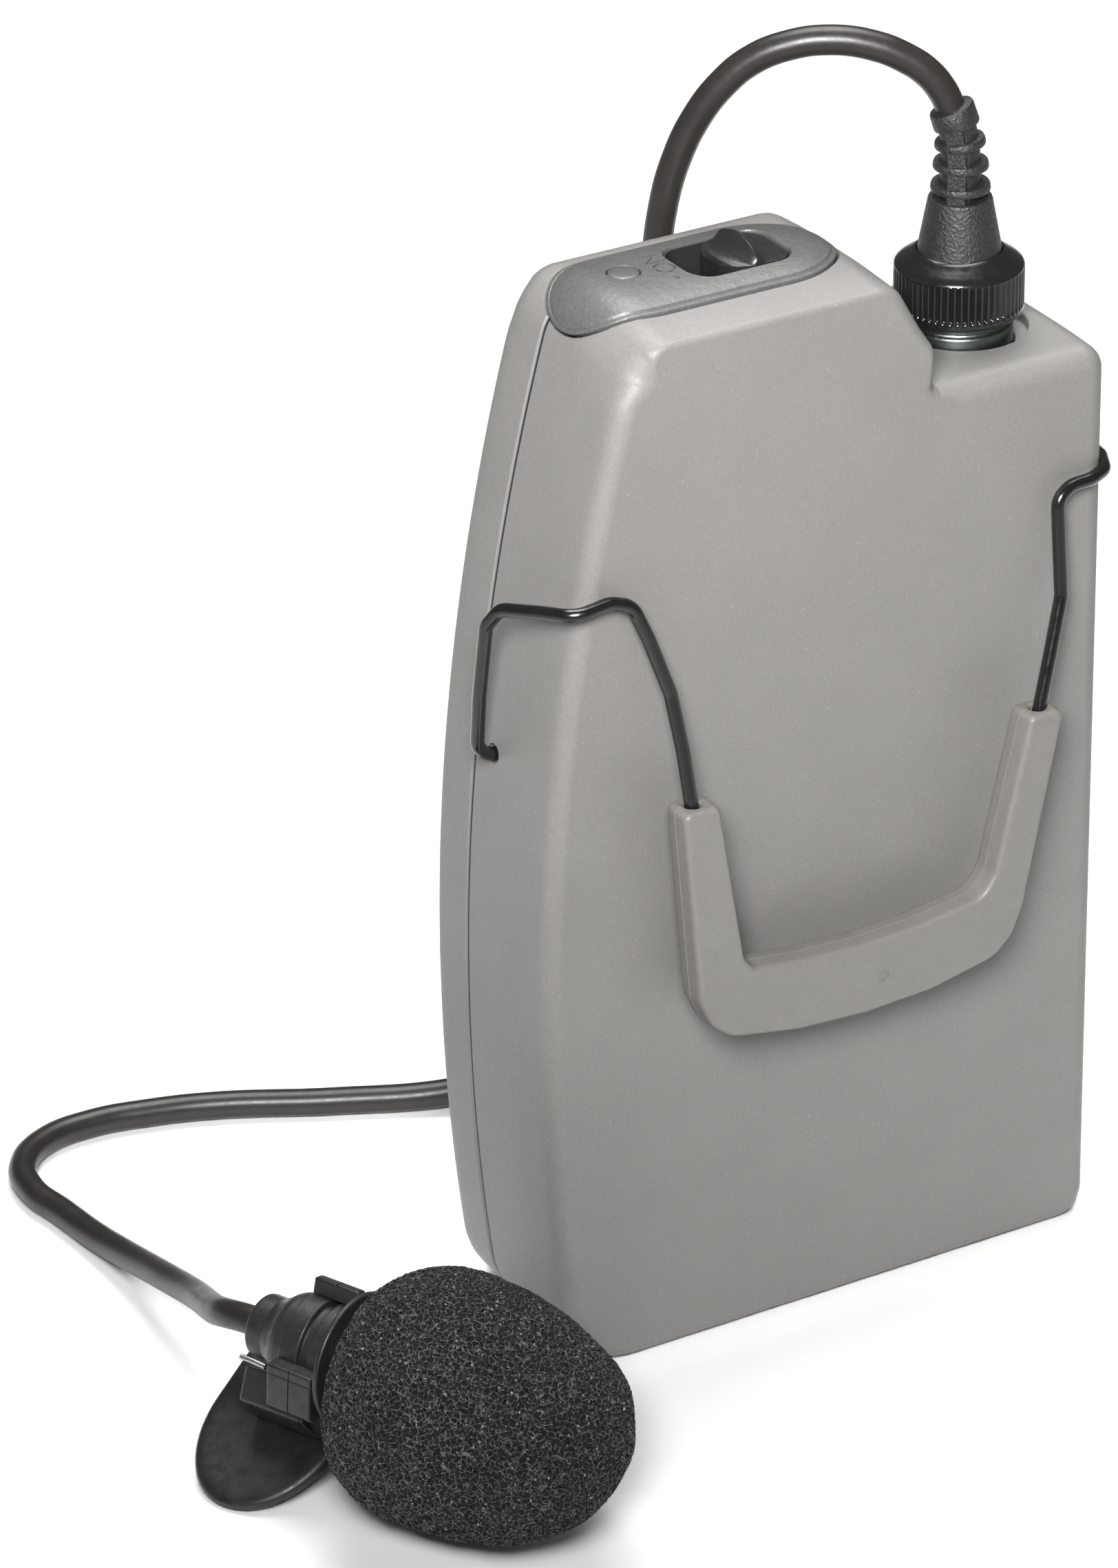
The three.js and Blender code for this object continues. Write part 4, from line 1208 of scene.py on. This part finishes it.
def make_clip_spring():
    """A torsion spring of round wire on the pin, with one end up under the tongue."""
    x, z = PIN
    turns, wire_radius, radius = 4, 0.28, 1.25
    points = []
    for i in range(turns * 16 + 1):
        angle = 2 * math.pi * i / 16
        y = CLIP_CENTRE - 1.2 + 2.4 * i / (turns * 16)
        points.append((x + radius * math.cos(angle), y, z + radius * math.sin(angle)))
    coil = baked(wire("spring_coil", points, wire_radius, 3, 3))
    in_clip(tidy_mesh(coil))
    route = [(4.25, -6.5, 0.62), (4.25, -5.0, 0.6), (4.3, -3.6, 0.5)]
    tail = baked(wire("spring_tail", route, wire_radius, 3, 3))
    carve(coil, in_clip(tidy_mesh(tail)), operation="UNION")
    coil.name = "clip_spring"
    shade(coil, 60)
    dressed(coil, "tie_clip", "steel", "tie_clip_spring")
    profile = [(0, -8), (0.5, -8), (0.6, -7.9), (0.6, 0.9), (0.5, 1), (0, 1)]
    pin = in_clip(lathe("clip_pin", profile, 32, at(x, 0, z, ALONG_Y)))
    finished(pin, "tie_clip", "steel", "tie_clip_pin")


# ---- CAD pieces that stay

def dress_inner_pieces():
    for row in frame["record"]["subparts"]:
        node = frame["nodes"].get(row["node"])
        if node is not None and node.type == "MESH":
            for slot in node.material_slots:
                slot.material = LOOKS[row["material_slot"]]


# ---- stage

FLOOR_HALF = 3000
WORLD_STRENGTH = 0.12
LIGHTS = (  # name, place, diameter, power in watts, spread in degrees
    ("key", (-190, -260, 300), 150, 0.4, 54),
    ("top", (120, 200, 700), 500, 5.3, 180),
)
LIGHT_AIM = (-5, 0, 125)


def make_stage():
    far = FLOOR_HALF
    corners = [(-far, -far, 0), (far, -far, 0), (far, far, 0), (-far, far, 0)]
    floor = new_object("floor", corners, [(0, 1, 2, 3)])
    white = bpy.data.materials.new("pale_floor")
    white.use_nodes = True
    shader = white.node_tree.nodes["Principled BSDF"]
    shader.inputs["Base Color"].default_value = (0.97, 0.97, 0.97, 1)
    shader.inputs["Roughness"].default_value = 0.9
    floor.data.materials.append(white)
    world = bpy.data.worlds.new("studio")
    bpy.context.scene.world = world
    world.use_nodes = True
    world.node_tree.nodes["Background"].inputs["Color"].default_value = (1, 1, 1, 1)
    world.node_tree.nodes["Background"].inputs["Strength"].default_value = WORLD_STRENGTH
    for name, place, size, power, spread in LIGHTS:
        data = bpy.data.lights.new(name, "AREA")
        data.shape, data.size, data.energy = "DISK", size * MM, power
        light = bpy.data.objects.new(name, data)
        light.location = Vector(place) * MM
        light.visible_camera = False
        data.spread = math.radians(spread)
        aim = Vector(LIGHT_AIM) * MM - light.location
        light.rotation_euler = aim.to_track_quat("-Z", "Y").to_euler()
        bpy.context.scene.collection.objects.link(light)
    bpy.context.scene.view_settings.view_transform = "Standard"


make_camera()
make_cord()
make_front_shell()
make_back_shell()
make_seam_shade_strip()
make_door()
make_screws()
make_cap()
make_lens()
make_opening_shade_liner()
make_switch()
make_collar()
make_ring()
make_boot()
make_clip_wires()
make_yoke()
make_microphone()
make_foam()
make_clip_ring()
make_clip_plate()
make_clip_lever()
make_clip_spring()
dress_inner_pieces()
make_stage()
